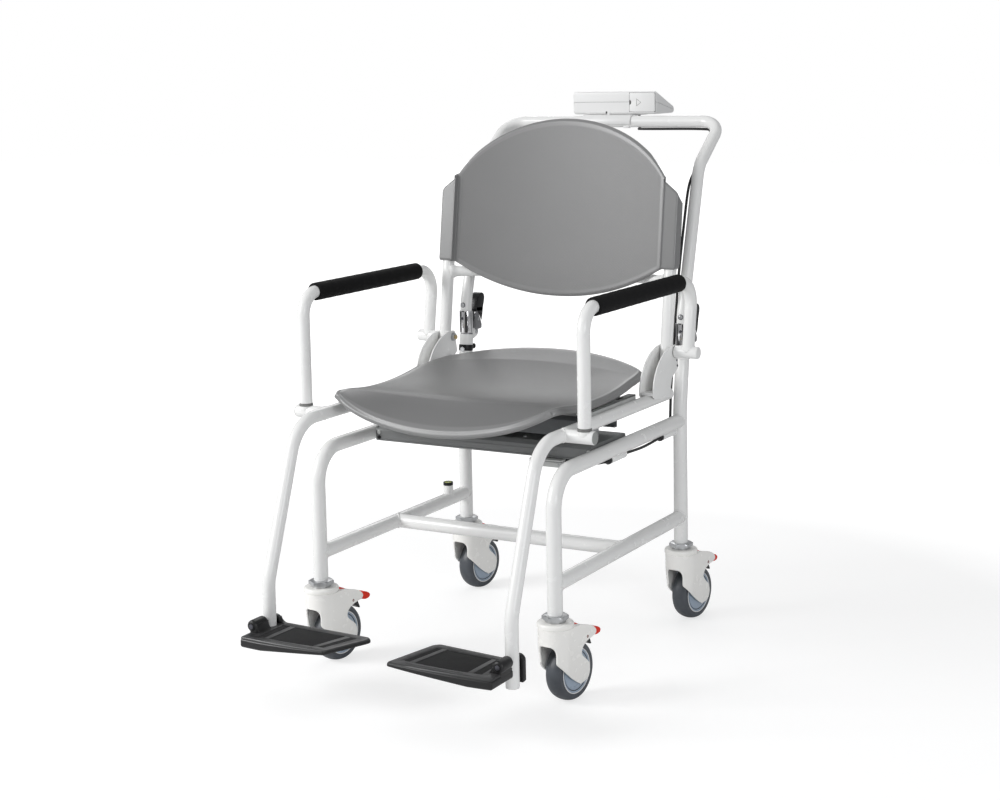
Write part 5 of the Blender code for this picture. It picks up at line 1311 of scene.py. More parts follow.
def makeBackShell():
    # Each point of the section rises from a lower line to an upper one, z = low(s) + (high(s) - low(s)) w
    piece = Piece("back_shell", "base", "shell_plastic")
    s = shells
    half = backSection()
    gaps = np.linalg.norm(np.diff(half, axis=0), axis=1)
    along = np.concatenate([[0], np.cumsum(gaps)])
    fine = np.unique(np.concatenate([along, np.linspace(along[0], along[-1], 110)]))
    section = np.stack([np.interp(fine, along, half[:, k]) for k in (0, 1)], axis=1)
    x = section[:, 0]
    arch = s["shoulder"] + (s["peak"] - s["shoulder"]) * np.maximum(0, 1 - (x / s["arcWidth"]) ** 2) ** 0.7
    arch -= 0.012 * (x / 0.2192) ** 8
    turn = fine[np.argmax(x > s["channelX"][0] - 0.0004)]
    high = np.where(fine < turn, arch, np.interp(fine, (turn, fine[-1]), s["wingTop"]))
    low = s["dip"] + (s["hip"] - s["dip"]) * np.minimum(x / 0.2175, 1) ** 2.1
    levels = 0.5 - 0.5 * np.cos(np.linspace(0.07, np.pi - 0.07, 111))
    levels = (levels - levels[0]) / (levels[-1] - levels[0])
    z = low[:, None] + (high - low)[:, None] * (0.004 + 0.992 * levels)
    centre = uprightY(z)
    near = np.stack([np.broadcast_to(x[:, None], z.shape), centre + section[:, 1:2], z], axis=-1)
    turns = np.gradient(section, axis=0)
    outward = unit(np.stack([turns[:, 1], -turns[:, 0]], axis=1))
    outward = np.stack([outward[:, 0], outward[:, 1], np.zeros(len(outward))], axis=1)[:, None]
    tall = np.minimum(levels, 1 - levels)[None] * (high - low)[:, None]
    edge = np.clip(1 - tall / 0.010, 0, 1) * np.clip((0.207 - x) / 0.025, 0, 1)[:, None]
    far = near - outward * (s["wall"] * 0.62 + 0.0028 * edge**2)[..., None]
    near = near - outward * (0.0016 * np.clip(1 - tall / 0.004, 0, 1) ** 2)[..., None]
    plain = np.clip((s["border"] - tall) / 0.0025 + 0.5, 0, 1)
    plain = np.maximum(plain, np.clip((x - s["faceEnd"] + 0.008) / 0.002, 0, 1)[:, None])
    flip = np.array([-1, 1, 1])
    near = np.concatenate([near[:0:-1] * flip, near])
    far = np.concatenate([far[:0:-1] * flip, far])
    plain = np.concatenate([plain[:0:-1], plain])
    surface = shellSkin(near, far)
    rimCount = len(surface[0]) - 2 * plain.size
    piece.add(surface, shellPlastic, rim=np.concatenate([plain.ravel(), np.ones(plain.size + rimCount)]))
    # The inner half of each channel, which closes it round the tube
    for sign in (-1, 1):
        clip = bend(
            [(0.2215, -0.0120), (0.2178, -0.0080), (0.2178, 0.0120), (0.2300, 0.0150), (0.2440, 0.0120)],
            0.006,
            15,
        )
        route = np.linspace(0.672, 0.780, 12)
        size = (len(route), len(clip))
        x, z = np.broadcast_to(clip[:, 0], size), np.broadcast_to(route[:, None], size)
        wall = np.stack([x, uprightY(route)[:, None] + clip[:, 1], z], axis=-1)
        turns = np.gradient(clip, axis=0)
        side = unit(np.stack([turns[:, 1], -turns[:, 0], np.zeros(len(clip))], axis=1))
        piece.add(shellSkin(wall * (sign, 1, 1), (wall + side * 0.0022) * (sign, 1, 1)), shellPlastic)
    piece.build(50)


makeSeatShell()
makeBackShell()
print("shells built")

# Armrests

arms = {
    "x": 0.272,
    "foot": 0.4549,
    "height": 0.646,
    "rear": 0.461,
    "frontBend": 0.0385,
    "rearBend": 0.042,
    "barrel": 0.011,
    "barrelSpan": (0.2467, 0.2925),
    "pad": (0.067, 0.401),
    "padRadius": 0.0158,
}


def makeArm(side, mirrored):
    # The armrest: a tube from the stub round two bends to the barrel, and the foam pad round it
    piece = Piece(f"arm_tube_{side}", f"arm_{side}", "frame_paint", mirrored)
    x = arms["x"]
    along, height = seatFrame["pivot"]
    corners = [
        (x, seatFrame["stub"], arms["foot"]), (x, seatFrame["stub"], arms["height"]),
        (x, arms["rear"], arms["height"]), (x, along, height),
    ]
    route = bend(corners, [arms["frontBend"], arms["rearBend"]], 4)
    piece.add(tube(route, seatFrame["tube"], 40), framePaint)
    low, high = arms["barrelSpan"]
    piece.add(
        tube([(low, along, height), (high - 0.0012, along, height)], arms["barrel"], 40, 0.0006), framePaint
    )
    piece.add(disc(0.0107, high - 0.0014, high, (0, along, height), acrossAxis, 0.0008), framePaint)
    piece.add(disc(0.0113, low, low + 0.0011, (0, along, height), acrossAxis, 0.0003), bootGrey)
    down = unit(np.array([0, along - arms["rear"], height - arms["height"]]))
    piece.add(
        weldBead((x, along, height), acrossAxis, -down, arms["barrel"], seatFrame["tube"], 0.0013),
        framePaint,
    )
    piece.build()

    pad = Piece(f"arm_pad_{side}", f"arm_{side}", "grip_foam", mirrored)
    start, end = arms["pad"]
    outer, inner = arms["padRadius"], seatFrame["tube"] + 0.0003
    count = 81
    lengths = np.linspace(start + 0.003, end - 0.003, count)
    ease = np.radians(np.linspace(0, 90, 6))
    profile = np.concatenate(
        [
            [(inner, start)],
            np.stack(
                [outer - 0.003 + 0.003 * np.sin(ease), start + 0.003 - 0.003 * np.cos(ease)], axis=1
            )[:-1],
            np.stack([outer - 0.00012 * (1 + np.sin(lengths * 210)), lengths], axis=1),
            np.stack([outer - 0.003 + 0.003 * np.cos(ease), end - 0.003 + 0.003 * np.sin(ease)], axis=1)[1:],
            [(inner, end)],
        ]
    )
    pad.add(turned(profile, (x, 0, arms["height"]), backAxis, 48, True), gripFoam)
    pad.build()


for sideArguments in sides:
    makeArm(*sideArguments)
print("armrests built")

# Footplates

plates = {
    "outer": 0.238,
    "inner": 0.0605,
    "front": -0.22604,
    "back": -0.12204,
    "top": 0.112,
    "thick": 0.018,
    "thin": 0.008,
    "corner": 0.014,
    "bow": 0.004,
    # How far the inner edge's front and rear ends are moved outwards, and its rear end backwards
    "ends": {"left": (-0.0145, 0.0105, 0.016), "right": (0.0125, -0.0265, -0.007)},
    "panels": ((0.0975, 0.1890), (0.0700, 0.0885), (0.1975, 0.2120)),
    "hinge": (0.2335, -0.147, 0.1222),
}


def plateOutline(inset):
    # The plate from above, moved in by an inset; its front edge bows
    p = plates
    left, right = p["inner"] + inset, p["outer"] - inset
    front, back = p["front"] + inset, p["back"] - inset
    share = np.linspace(0.04, 0.96, 15)
    bowed = np.stack([left + (right - left) * share, front + p["bow"] * (2 * share - 1) ** 2], axis=1)
    corners = np.concatenate(
        [[(left, front + p["bow"])], bowed, [(right, front + p["bow"])], [(right, back), (left, back)]]
    )
    radius = max(p["corner"] - inset, 0.002)
    radii = np.concatenate([[radius], np.full(15, 0.0), [radius, radius, radius]])
    return roundOutline(corners, radii, 10)


def thinned(points):
    # The underside rises towards the inner edge: z = top - (top - z) · thickness(x) / full thickness
    p = plates
    share = np.clip((p["outer"] - 0.045 - points[:, 0]) / (p["outer"] - 0.045 - p["inner"]), 0, 1)
    factor = (p["thick"] - (p["thick"] - p["thin"]) * share**0.85) / p["thick"]
    points = points.copy()
    points[:, 2] = p["top"] - (p["top"] - points[:, 2]) * factor
    return points


def slanted(points, side):
    # The inner edge lies aslant: a point moves by its share · the shift of the edge's ends
    p = plates
    front, rear, backward = p["ends"][side]
    share = np.clip((p["outer"] - 0.028 - points[:, 0]) / (p["outer"] - 0.028 - p["inner"]), 0, 1.2)
    forward = (p["back"] - points[:, 1]) / (p["back"] - p["front"])
    points = points.copy()
    points[:, 0] += share * (front * forward + rear * (1 - forward))
    points[:, 1] += share * backward * (1 - forward)
    return points


def fillet(x, front, back, low, high, reach, way):
    # A wall with a concave foot, in (x, z): a quarter circle from the plate up to the boss
    lean = np.linspace(0, np.pi / 2, 9)
    curve = np.stack([x + way * reach * (1 - np.sin(lean)), low + (high - low) * (1 - np.cos(lean))], axis=1)
    outline = np.concatenate(
        [curve, [(x - way * 0.006, high), (x - way * 0.006, low - 0.003), (x + way * reach, low - 0.003)]]
    )
    return slab(outline, front, back, "Y", 0.0012)


def makeFootplate(side, mirrored):
    # The footplate: slabs of one outline for body, frame and sunk panels, all set aslant
    piece = Piece(f"footplate_{side}", f"footrest_{side}", "foot_plastic", mirrored)
    p = plates
    hingeX, hingeY, hingeZ = p["hinge"]

    def aslant(points):
        # This side's slant
        return slanted(points, side)

    top, front, back = p["top"], p["front"], p["back"]
    body = slab(plateOutline(0), top - p["thick"], top - 0.0028, "Z", 0.0045, 6)
    piece.add(moved(moved(body, thinned), aslant), footFrame)
    # The satin frame stands round the sunk panels
    rows = []
    for inset, height in (
        (0.0006, 0.0034), (0.0006, 0.0016), (0.0016, 0.0002), (0.0024, 0), (0.0160, 0), (0.0168, 0.0005),
        (0.0168, 0.0030),
    ):
        line = plateOutline(inset)
        rows.append(np.concatenate([line, np.full((len(line), 1), top - height)], axis=1))
    piece.add(moved(spread(np.stack(rows), True, True), aslant), footTop)
    for (low, high), lower in zip(p["panels"], (0.0010, 0.0008, 0.0008)):
        corners = [
            (low, front + 0.0195), (high, front + 0.0195), (high, back - 0.0180), (low, back - 0.0180)
        ]
        piece.add(
            moved(slab(roundOutline(corners, 0.0020), top - 0.0030, top - lower, "Z", 0.0003), aslant),
            footPanel,
        )
    for low, high in ((0.0880, 0.0980), (0.1885, 0.1980), (0.2115, 0.2240), (0.0640, 0.0705)):
        bar = softBox((low, front + 0.012, top - 0.0034), (high, back - 0.012, top - 0.0001), 0.0006)
        piece.add(moved(bar, aslant), footTop)
    for along in (front + 0.0105, back - 0.0088):
        slot = softBox((0.090, along - 0.0010, top - 0.001), (0.186, along + 0.0010, top + 0.00006), 0.0004)
        piece.add(moved(slot, aslant), seamShadow)
    # Boss ahead of the hanger and lug behind it, each with a hollow curve down to the plate
    reach, start = 0.0141, hingeY - 0.0486
    piece.add(disc(0.0100, start, hingeY - reach, (hingeX, 0, hingeZ), backAxis, 0.0045, 44), footFrame)
    piece.add(
        fillet(
            hingeX - 0.0105, start + 0.002, hingeY - reach - 0.001, top - 0.0005, hingeZ + 0.004, 0.010, -1
        ),
        footFrame,
    )
    piece.add(
        softBox((hingeX - 0.011, start + 0.0006, top - 0.014), (0.2378, hingeY - reach, hingeZ), 0.0022),
        footFrame,
    )
    piece.add(
        disc(0.0062, start - 0.0006, start + 0.001, (hingeX, 0, hingeZ), backAxis, 0.0003), blackPlastic
    )
    piece.add(hexNut((hingeX, start - 0.0002, hingeZ), (0, -1, 0), 0.0076, 0.0012), darkSteel)
    arcAt = np.radians(np.linspace(160, 0, 16))
    lug = np.concatenate(
        [
            [(hingeX - 0.0105, 0.0960)],
            np.stack([hingeX + 0.0105 * np.cos(arcAt), 0.1150 + 0.0105 * np.sin(arcAt)], axis=1),
            [(hingeX + 0.0105, 0.0835), (hingeX + 0.0080, 0.0805), (hingeX - 0.0020, 0.0805)],
        ]
    )
    piece.add(slab(lug, hingeY + reach, hingeY + reach + 0.009, "Y", 0.0016), footFrame)
    piece.add(
        fillet(hingeX - 0.0098, hingeY + reach, hingeY + reach + 0.009, top - 0.0005, 0.1225, 0.016, -1),
        footFrame,
    )
    piece.add(screwHead((hingeX, hingeY + reach + 0.009, 0.1165), backAxis, 0.0050, 0.0020), darkSteel)
    piece.build()


for sideArguments in sides:
    makeFootplate(*sideArguments)
print("footplates built")

# Push handle with its fold hinges

handle = {
    "sleeveWall": (0.01145, 0.0129),
    "sleeveAlong": 0.512,
    "leverPin": (0.543, 0.538),
    "x": 0.230,
    "foot": (0.512, 0.5158),
    "kink": (0.512, 0.572, 0.080),
    "elbow": (0.590, 0.840, 0.060),
    "bar": (0.697, 0.918, 0.040),
    "tube": 0.0111,
    "sleeve": (0.5155, 0.5580),
}


def makePushHandle():
    # The push handle: half of its route and the mirrored half, as one tube
    piece = Piece("push_handle", "handle", "frame_paint")
    x = handle["x"]
    half = [
        (x, *handle["foot"]), (x, *handle["kink"][:2]), (x, *handle["elbow"][:2]), (x, *handle["bar"][:2])
    ]
    mirror = [(-a, b, c) for a, b, c in half]
    radii = [handle["kink"][2], handle["elbow"][2], handle["bar"][2]]
    route = bend(mirror + half[::-1], radii + radii[::-1], 4)
    piece.add(tube(route, handle["tube"], 40), framePaint)
    for sign in (-1, 1):
        place = (sign * (x + 0.0006), 0.5012, 0.5700)
        piece.add(screwHead(place, (sign * 0.06, -0.998, 0.02), 0.0040, 0.0014), zinc)
        piece.add(disc(0.0050, -0.0008, 0.0004, place, (sign * 0.06, -0.998, 0.02), 0.0003), darkSteel)
    piece.build()


def makeFoldSleeve(side, mirrored):
    # The fold sleeve: a turned chrome wall with dark slots, and the spine behind it
    piece = Piece(f"fold_sleeve_{side}", "handle", "chromed_steel", mirrored)
    x = handle["x"]
    low, high = handle["sleeve"]
    inner, outer = handle["sleeveWall"]
    along = handle["sleeveAlong"]
    centre = (x, along, 0)
    wall = rectangle(inner, low, outer, high, 0.0004, 30)
    piece.add(turned(wall, centre, sides=64, closed=True), chrome)
    # Slots and notches, as dark strips let into the chrome
    for degrees, bottom, top, width in (
        (-118, low + 0.001, high - 0.001, 0.0050), (-62, low + 0.001, high - 0.001, 0.0050),
        (4, low + 0.001, high - 0.002, 0.0084), (176, low + 0.001, high - 0.002, 0.0084),
        (-96, high - 0.0016, high + 0.0008, 0.0030), (-84, high - 0.0016, high + 0.0008, 0.0030),
    ):
        angle = math.radians(degrees)
        outline = rectangle(-width / 2, bottom, width / 2, top, 0.0014)
        strip = slab(outline, -0.0004, 0.00018, "Y", 0)

        def wrap(points, angle=angle):
            # A flat strip laid on the cylinder: a = angle + s / r
            turn = angle + points[:, 0] / outer
            radius = outer + points[:, 1]
            return np.stack([x + radius * np.cos(turn), along + radius * np.sin(turn), points[:, 2]], axis=1)

        piece.add(moved(strip, wrap), seamShadow)
    piece.add(screwHead((x + 0.0009, 0.4991, 0.5440), (0.07, -0.998, 0), 0.0028, 0.0012), darkSteel)
    # The spine on the fold pin, and the lever's pin
    spine = roundOutline(
        [(0.5236, 0.5170), (0.5330, 0.5158), (0.5345, 0.5080), (0.5455, 0.5080), (0.5470, 0.5140),
         (0.5486, 0.5310), (0.5486, 0.5450), (0.5236, 0.5565)],
        [0.0005, 0.0005, 0.004, 0.004, 0.002, 0.001, 0.003, 0.0005], 20,
    )
    piece.add(slab(spine, x - 0.0026, x + 0.0026, "X", 0.0003), chrome)
    piece.add(disc(0.002, -0.0092, 0.0092, (x, *handle["leverPin"]), acrossAxis, 0.0003, 20), zinc)
    piece.build()


def makeReleaseLever(side, mirrored):
    piece = Piece(f"release_lever_{side}", f"lever_{side}", "lever_plastic", mirrored)
    x = handle["x"]
    # The release lever: a steel cheek on each side of the spine, and the black paddle over them
    cheek = roundOutline(
        [(0.5330, 0.5180), (0.5330, 0.5440), (0.5350, 0.5540), (0.5400, 0.5560), (0.5440, 0.5540),
         (0.5480, 0.5420), (0.5530, 0.5330), (0.5560, 0.5260), (0.5550, 0.5185)],
        [0.002, 0.004, 0.003, 0.003, 0.003, 0.004, 0.004, 0.003, 0.003], 15,
    )
    for low, high in ((x - 0.0092, x - 0.0064), (x + 0.0064, x + 0.0092)):
        piece.add(slab(cheek, low, high, "X", 0.0007), cheekSteel)
    paddle = flowing(
        [(0.5352, 0.5540), (0.5362, 0.5640), (0.5420, 0.5780), (0.5490, 0.5850), (0.5570, 0.5885),
         (0.5650, 0.5870), (0.5690, 0.5810), (0.5685, 0.5730), (0.5640, 0.5610), (0.5600, 0.5520),
         (0.5480, 0.5515)],
        5, True,
    )
    piece.add(slab(paddle, x - 0.0094, x + 0.0094, "X", 0.0024, 4), blackPlastic)
    tail = roundOutline(
        [
            (0.5354, 0.5620), (0.5620, 0.5600), (0.5585, 0.5440), (0.5545, 0.5330), (0.5480, 0.5440),
            (0.5380, 0.5560),
        ],
        0.0012,
    )
    for low, high in ((x - 0.0094, x - 0.0088), (x + 0.0088, x + 0.0094)):
        piece.add(slab(tail, low, high, "X", 0.0003), blackPlastic)
    for sign in (-1, 1):
        piece.add(disc(0.0032, 0.0088, 0.0098, (x, *handle["leverPin"]), (sign, 0, 0), 0.0004), zinc)
    piece.build()


makePushHandle()
for sideArguments in sides:
    makeFoldSleeve(*sideArguments)
    makeReleaseLever(*sideArguments)
print("handle built")

# Indicator on the handle bar

case = {
    "front": 0.705,
    "depth": 0.086,
    "bottom": 0.9317,
    "height": 0.046,
    "low": 0.013,
    "seamDrop": 0.022,
    "rounding": 0.0056,
    "sides": (-0.0890, 0.0920),
    "seamGap": 0.0003,
    "pocket": (0.0343, 0.0890, 0.9361, 0.9734),
    "doorDepth": 0.0022,
    "screen": (0.109, 0.040, 0.040),
    "key": (0.0180, 0.0150, 0.0765, 0.0224),
    "keyProud": 0.0010,
    "saddle": (-0.060, 0.045, 0.002),
    "reading": "45.3",
}
faceTilt = math.atan2(case["height"] - case["low"], case["depth"])


def onFace(points):
    # (across, down, out) on the display face becomes a place: corner + down · d + out · n
    down = np.array([0, math.cos(faceTilt), -math.sin(faceTilt)])
    out = np.array([0, math.sin(faceTilt), math.cos(faceTilt)])
    corner = np.array([0, case["front"], case["bottom"] + case["height"]])
    return corner + points[:, :1] * np.array([1, 0, 0]) + points[:, 1:2] * down + points[:, 2:3] * out


def faceBox(across, down, width, length, low, high, rounding=0.0005):
    # A rounded box given by its middle and size on the indicator's sloping face
    box = softBox(
        (across - width / 2, down - length / 2, low), (across + width / 2, down + length / 2, high), rounding
    )
    return moved(box, onFace)


def makeSaddle():
    # The saddle: an outline that wraps the push bar, drawn out to a strip, with its hooks
    piece = Piece("indicator_bracket", "handle", "case_white")
    right, left, sheet = case["saddle"]
    along, height = handle["bar"][:2]
    inner = handle["tube"] + 0.0003
    outer = inner + sheet
    sweep = np.radians(np.linspace(200, 90, 23))[:, None]
    way = np.concatenate([np.cos(sweep), np.sin(sweep)], axis=1)
    outline = np.concatenate(
        [
            (along, height) + outer * way, [(0.7652, height + outer), (0.7652, height + inner)],
            ((along, height) + inner * way)[::-1],
        ]
    )
    piece.add(slab(outline, right, left, "X", 0.0006), caseWhite)
    hook = rectangle(0.6790, 0.9060, 0.6870, 0.9100, 0.001)
    piece.add(slab(hook, left - 0.012, left + 0.0006, "X", 0.0006), caseWhite)
    for x in (right + 0.018, left - 0.018):
        for y in (0.728, 0.752):
            piece.add(screwHead((x, y, height + inner), (0, 0, -1), 0.0035, 0.0018), zinc)
    piece.build()


def seamHeight(along):
    # The parting line falls from the front to the back
    share = (along - case["front"]) / case["depth"]
    front = case["bottom"] + case["height"] - case["seamDrop"]
    return front + (case["bottom"] + case["low"] * 0.45 - front) * share


def caseSkin(inset=0.0):
    # A rounded box with the battery's pocket sunk into its front, then pressed into a wedge:
    # z falls by (height - low) · depth share · how far up the wall it is
    c = case
    left, right = c["sides"]
    front, back, bottom = c["front"] + inset, c["front"] + c["depth"] - inset, c["bottom"] + inset
    x0, x1, z0, z1 = c["pocket"]
    thin = 0.00004
    top = c["bottom"] + c["height"] - inset
    cuts = ((x0 - thin, x0, x1, x1 + thin), (), (z0 - thin, z0, z1, z1 + thin))
    low, high = (left + inset, front, bottom), (right - inset, back, top)
    rounding = c["rounding"] - inset
    place, quads, caps = softBox(low, high, rounding, 5, ((), (), ()) if inset else cuts)
    if not inset:
        x, y, z = place.T
        edge = thin / 4
        sunk = (x > x0 - edge) & (x < x1 + edge) & (z > z0 - edge) & (z < z1 + edge) & (y < front + 0.004)
        place[sunk, 1] = front + c["doorDepth"]
    share = np.clip((place[:, 1] - c["front"]) / c["depth"], 0, 1)
    up = np.clip((place[:, 2] - bottom - rounding) / (top - bottom - 2 * rounding), 0, 1)
    place[:, 2] -= (c["height"] - c["low"]) * share * up
    return place, quads, caps


def clipped(surface, above):
    # Everything beyond the parting line is pressed onto it
    place, quads, caps = surface
    place = place.copy()
    level = seamHeight(place[:, 1])
    gap = case["seamGap"]
    place[:, 2] = np.maximum(place[:, 2], level + gap) if above else np.minimum(place[:, 2], level - gap)
    return place, quads, caps


def makeCase():
    # The indicator case: its skin cut at the seam into a lower and an upper half
    bottom, front = case["bottom"], case["front"]
    lower = Piece("indicator_back", "handle", "case_white")
    lower.add(clipped(caseSkin(), False), caseWhite)
    lower.add(caseSkin(0.0011), seamShadow)
    for x in (-0.080, 0.080):
        lower.add(disc(0.0030, -0.0004, 0.001, (x, 0.780, bottom), rounding=0.0002), seamShadow)
    # The latch's slot in the front edge, with its small hook
    lower.add(
        softBox(
            (-0.0168, front - 0.0001, bottom + 0.0016), (-0.0136, front + 0.001, bottom + 0.0060), 0.0003
        ),
        seamShadow,
    )
    lower.add(
        softBox(
            (-0.0136, front - 0.0012, bottom - 0.0002), (-0.0078, front + 0.002, bottom + 0.0022), 0.0006
        ),
        caseWhite,
    )
    lower.build()

    upper = Piece("indicator_front", "handle", "case_white")
    upper.add(clipped(caseSkin(), True), caseWhite)
    # Bezel round the window, the lamp, and the small marks under the keys
    width, length, down = case["screen"]
    rim = 0.004
    outerLine, innerLine = (
        rectangle(
            -width / 2 - more, down - length / 2 - more, width / 2 + more, down + length / 2 + more, radius
        )
        for more, radius in ((rim, rim), (0, 0.0015))
    )
    rows = [
        np.concatenate([line, np.full((len(line), 1), level)], axis=1)
        for line, level in (
            (outerLine, -0.001), (outerLine, 0.0003), (innerLine, 0.0010), (innerLine, -0.001)
        )
    ]
    bezel = spread(np.stack(rows), True, True)
    upper.add(moved(bezel, onFace), caseWhite)
    lamp = turned(
        bend([(0, -0.001), (0.0021, -0.001), (0.0021, 0.0003), (0, 0.0003)], 0.0002), (-0.078, 0.0135, 0)
    )
    upper.add(moved(lamp, onFace), blackPlastic)
    keyWide, keyLong, keyDown, pitch = case["key"]
    for index in range(5):
        x = pitch * (2 - index)
        mark = np.array(
            [(x - 0.0016, keyDown + 0.0093), (x + 0.0016, keyDown + 0.0093), (x, keyDown + 0.0107)]
        )
        upper.add(moved(slab(mark, -0.0003, 0.00012, "Z", 0), onFace), keyPlastic)
    upper.build()

    window = Piece("display_window", "handle", "screen_glass")
    window.add(faceBox(0, down, width, length, -0.0016, 0.0, 0.0004), screenGlass)
    window.add(faceBox(0, down, width - 0.010, length - 0.010, -0.0010, 0.00006, 0.0001), screenGlass)
    addReading(window, down)
    window.build()

    for index in range(5):
        x = pitch * (2 - index)
        key = Piece(f"key_{index + 1}", f"key_{index + 1}", "key_plastic")
        cap = faceBox(x, keyDown, keyWide, keyLong, case["keyProud"] - 0.004, case["keyProud"], 0.0012)
        key.add(cap, keyPlastic)
        bar = faceBox(
            x, keyDown, 0.0060, 0.0009, case["keyProud"] - 0.0004, case["keyProud"] + 0.00006, 0.0002
        )
        key.add(bar, caseWhite)
        key.build()


# Which of the seven bars each figure lights, from top to foot and left before right
litBars = {"4": (1, 2, 3, 5), "5": (0, 1, 3, 5, 6), "3": (0, 2, 3, 5, 6)}


def addReading(piece, down):
    # Seven-bar figures on the window, each bar a six-sided strip, leaned a little
    tall, wide, thick, lean = 0.0250, 0.0130, 0.0026, 0.10
    spots = {
        0: (0, -1, True), 1: (-1, -0.5, False), 2: (1, -0.5, False), 3: (0, 0, True), 4: (-1, 0.5, False),
        5: (1, 0.5, False), 6: (0, 1, True),
    }
    place = 0.020
    for figure in case["reading"]:
        if figure == ".":
            dot = faceBox(place + 0.0104, down + tall / 2 - 0.0012, 0.0026, 0.0026, -0.0002, 0.00012, 0.0001)
            piece.add(dot, digitInk)
            continue
        for barIndex in litBars[figure]:
            x, y, flat = spots[barIndex]
            long = (wide if flat else tall / 2) / 2 - 0.0006
            half = thick / 2
            strip = np.array(
                [
                    (-long, 0), (-long + half, -half), (long - half, -half), (long, 0), (long - half, half),
                    (-long + half, half),
                ]
            )
            if not flat:
                strip = strip[:, ::-1]
            strip = strip + (x * wide / 2, y * (tall - thick) / 2)
            strip[:, 0] -= lean * strip[:, 1]
            # The display is read from behind the chair, where +X lies to the left
            strip = strip * (-1, 1) + (place, down)
            piece.add(moved(slab(strip, -0.0002, 0.00012, "Z", 0), onFace), digitInk)
        place -= 0.0205


def makeBatteryDoor():
    piece = Piece("battery_door", "battery_door", "case_white")
    front = case["front"]
    x0, x1, z0, z1 = np.array(case["pocket"]) + (0.0005, -0.0004, 0.0004, -0.0005)
    # The battery door: a rounded plate whose left edge has a half-round finger notch
    sweep = np.radians(np.linspace(-90, 90, 11))
    middle = (z0 + z1) / 2
    notch = np.stack([x0 + 0.0034 * np.cos(sweep), middle + 0.0046 * np.sin(sweep)], axis=1)
    corners = roundOutline([(x0, z1), (x0, z0), (x1, z0), (x1, z1)], 0.0022, 15)
    cut = int(np.argmax((np.abs(corners[:, 0] - x0) < 1e-6) & (corners[:, 1] < middle)))
    outline = np.concatenate([corners[:cut], notch[::-1], corners[cut:]])
    piece.add(slab(outline, front + 0.0001, front + 0.0020, "Y", 0.0004), caseWhite)
    # A plain arrowhead in thin raised lines, coloured end-cap grey as painted shade along the embossed lines
    arrow = np.array([(0.0500, 0.9480), (0.0590, 0.9548), (0.0500, 0.9616)])
    for start, end in ((arrow[0], arrow[1]), (arrow[1], arrow[2]), (arrow[2], arrow[0])):
        way = unit((end - start)[None])[0]
        side = np.array([-way[1], way[0]]) * 0.0003
        strip = np.array([start - side, end - side, end + side, start + side])
        piece.add(slab(strip, front - 0.0003, front + 0.0005, "Y", 0), capGrey)
    piece.build()


makeSaddle()
makeCase()
makeBatteryDoor()
print("indicator built")

# Casters: made round a stem at the origin, looking straight back, then turned and set under each leg

casters = {
    "hubHeight": 0.050,
    "pedalPin": (0.0463, 0.1097),
    "yaw": -8.0,
    "trail": 0.037,
    "cap": 0.0305,
    "capTop": 0.1405,
    "capFoot": 0.1280,
    "groove": 0.1320,
    "wall": 0.0034,
    "taper": 0.035,
    "wheel": 0.050,
    "wheelWidth": 0.031,
    "pedalHalf": 0.0082,
    # Half the housing's width at heights, and how far round it reaches at heights: forward of the stem's
    # sides the reach is measured along the barrel, so that -0.0456 is the middle of the front
    "widths": (
        (0.0287, 0.0218), (0.050, 0.0236), (0.070, 0.0260), (0.090, 0.0282), (0.105, 0.0290), (0.133, 0.0292)
    ),
    "front": (
        (0.0287, 0.0405), (0.0300, 0.0380), (0.0342, 0.0305), (0.0424, 0.0180), (0.0536, 0.0032),
        (0.0626, -0.0077), (0.0683, -0.0144), (0.0717, -0.0188), (0.0740, -0.0214), (0.0762, -0.0228),
        (0.0826, -0.0235), (0.0905, -0.0242), (0.0960, -0.0254), (0.1000, -0.0277), (0.1028, -0.0312),
        (0.1044, -0.0352), (0.1049, -0.0400), (0.1050, -0.0456),
    ),
    "rear": (
        (0.0287, 0.0455), (0.0296, 0.0532), (0.0318, 0.0590), (0.0352, 0.0630), (0.0400, 0.0650),
        (0.0469, 0.0655), (0.0530, 0.0640), (0.0585, 0.0611), (0.0630, 0.0568), (0.0669, 0.0518),
        (0.0715, 0.0455), (0.0760, 0.0399), (0.0800, 0.0366), (0.0831, 0.0354), (0.0870, 0.0356),
        (0.0914, 0.0378), (0.0962, 0.0432), (0.0990, 0.0500), (0.1011, 0.0570), (0.1027, 0.0680),
        (0.1045, 0.0742), (0.1068, 0.0770), (0.1100, 0.0774), (0.1125, 0.0760), (0.1150, 0.0735),
        (0.1182, 0.0697), (0.1219, 0.0622), (0.1245, 0.0550), (0.1269, 0.0472), (0.1290, 0.0385),
        (0.1306, 0.0320),
    ),
    "ear": (
        (0.0150, 0.1295), (0.0150, 0.1100), (0.0330, 0.0990), (0.0480, 0.1012), (0.0640, 0.1040),
        (0.0730, 0.1065), (0.0748, 0.1100), (0.0715, 0.1150), (0.0600, 0.1213), (0.0440, 0.1264),
    ),
    "pedal": (
        (0.0300, 0.1318), (0.0420, 0.1288), (0.0560, 0.1224), (0.0700, 0.1140), (0.0820, 0.1072),
        (0.0920, 0.1050), (0.1000, 0.1062), (0.1090, 0.1046), (0.1150, 0.1012), (0.1172, 0.0975),
        (0.1150, 0.0935), (0.1080, 0.0918), (0.1010, 0.0925), (0.0950, 0.0952), (0.0880, 0.0990),
        (0.0800, 0.1020), (0.0700, 0.1055), (0.0560, 0.1085), (0.0420, 0.1110), (0.0320, 0.1190),
    ),
    "shoe": (
        (0.0690, 0.0985), (0.0800, 0.1000), (0.0850, 0.0925), (0.0905, 0.0805), (0.0865, 0.0808),
        (0.0822, 0.0842), (0.0765, 0.0890),
    ),
}


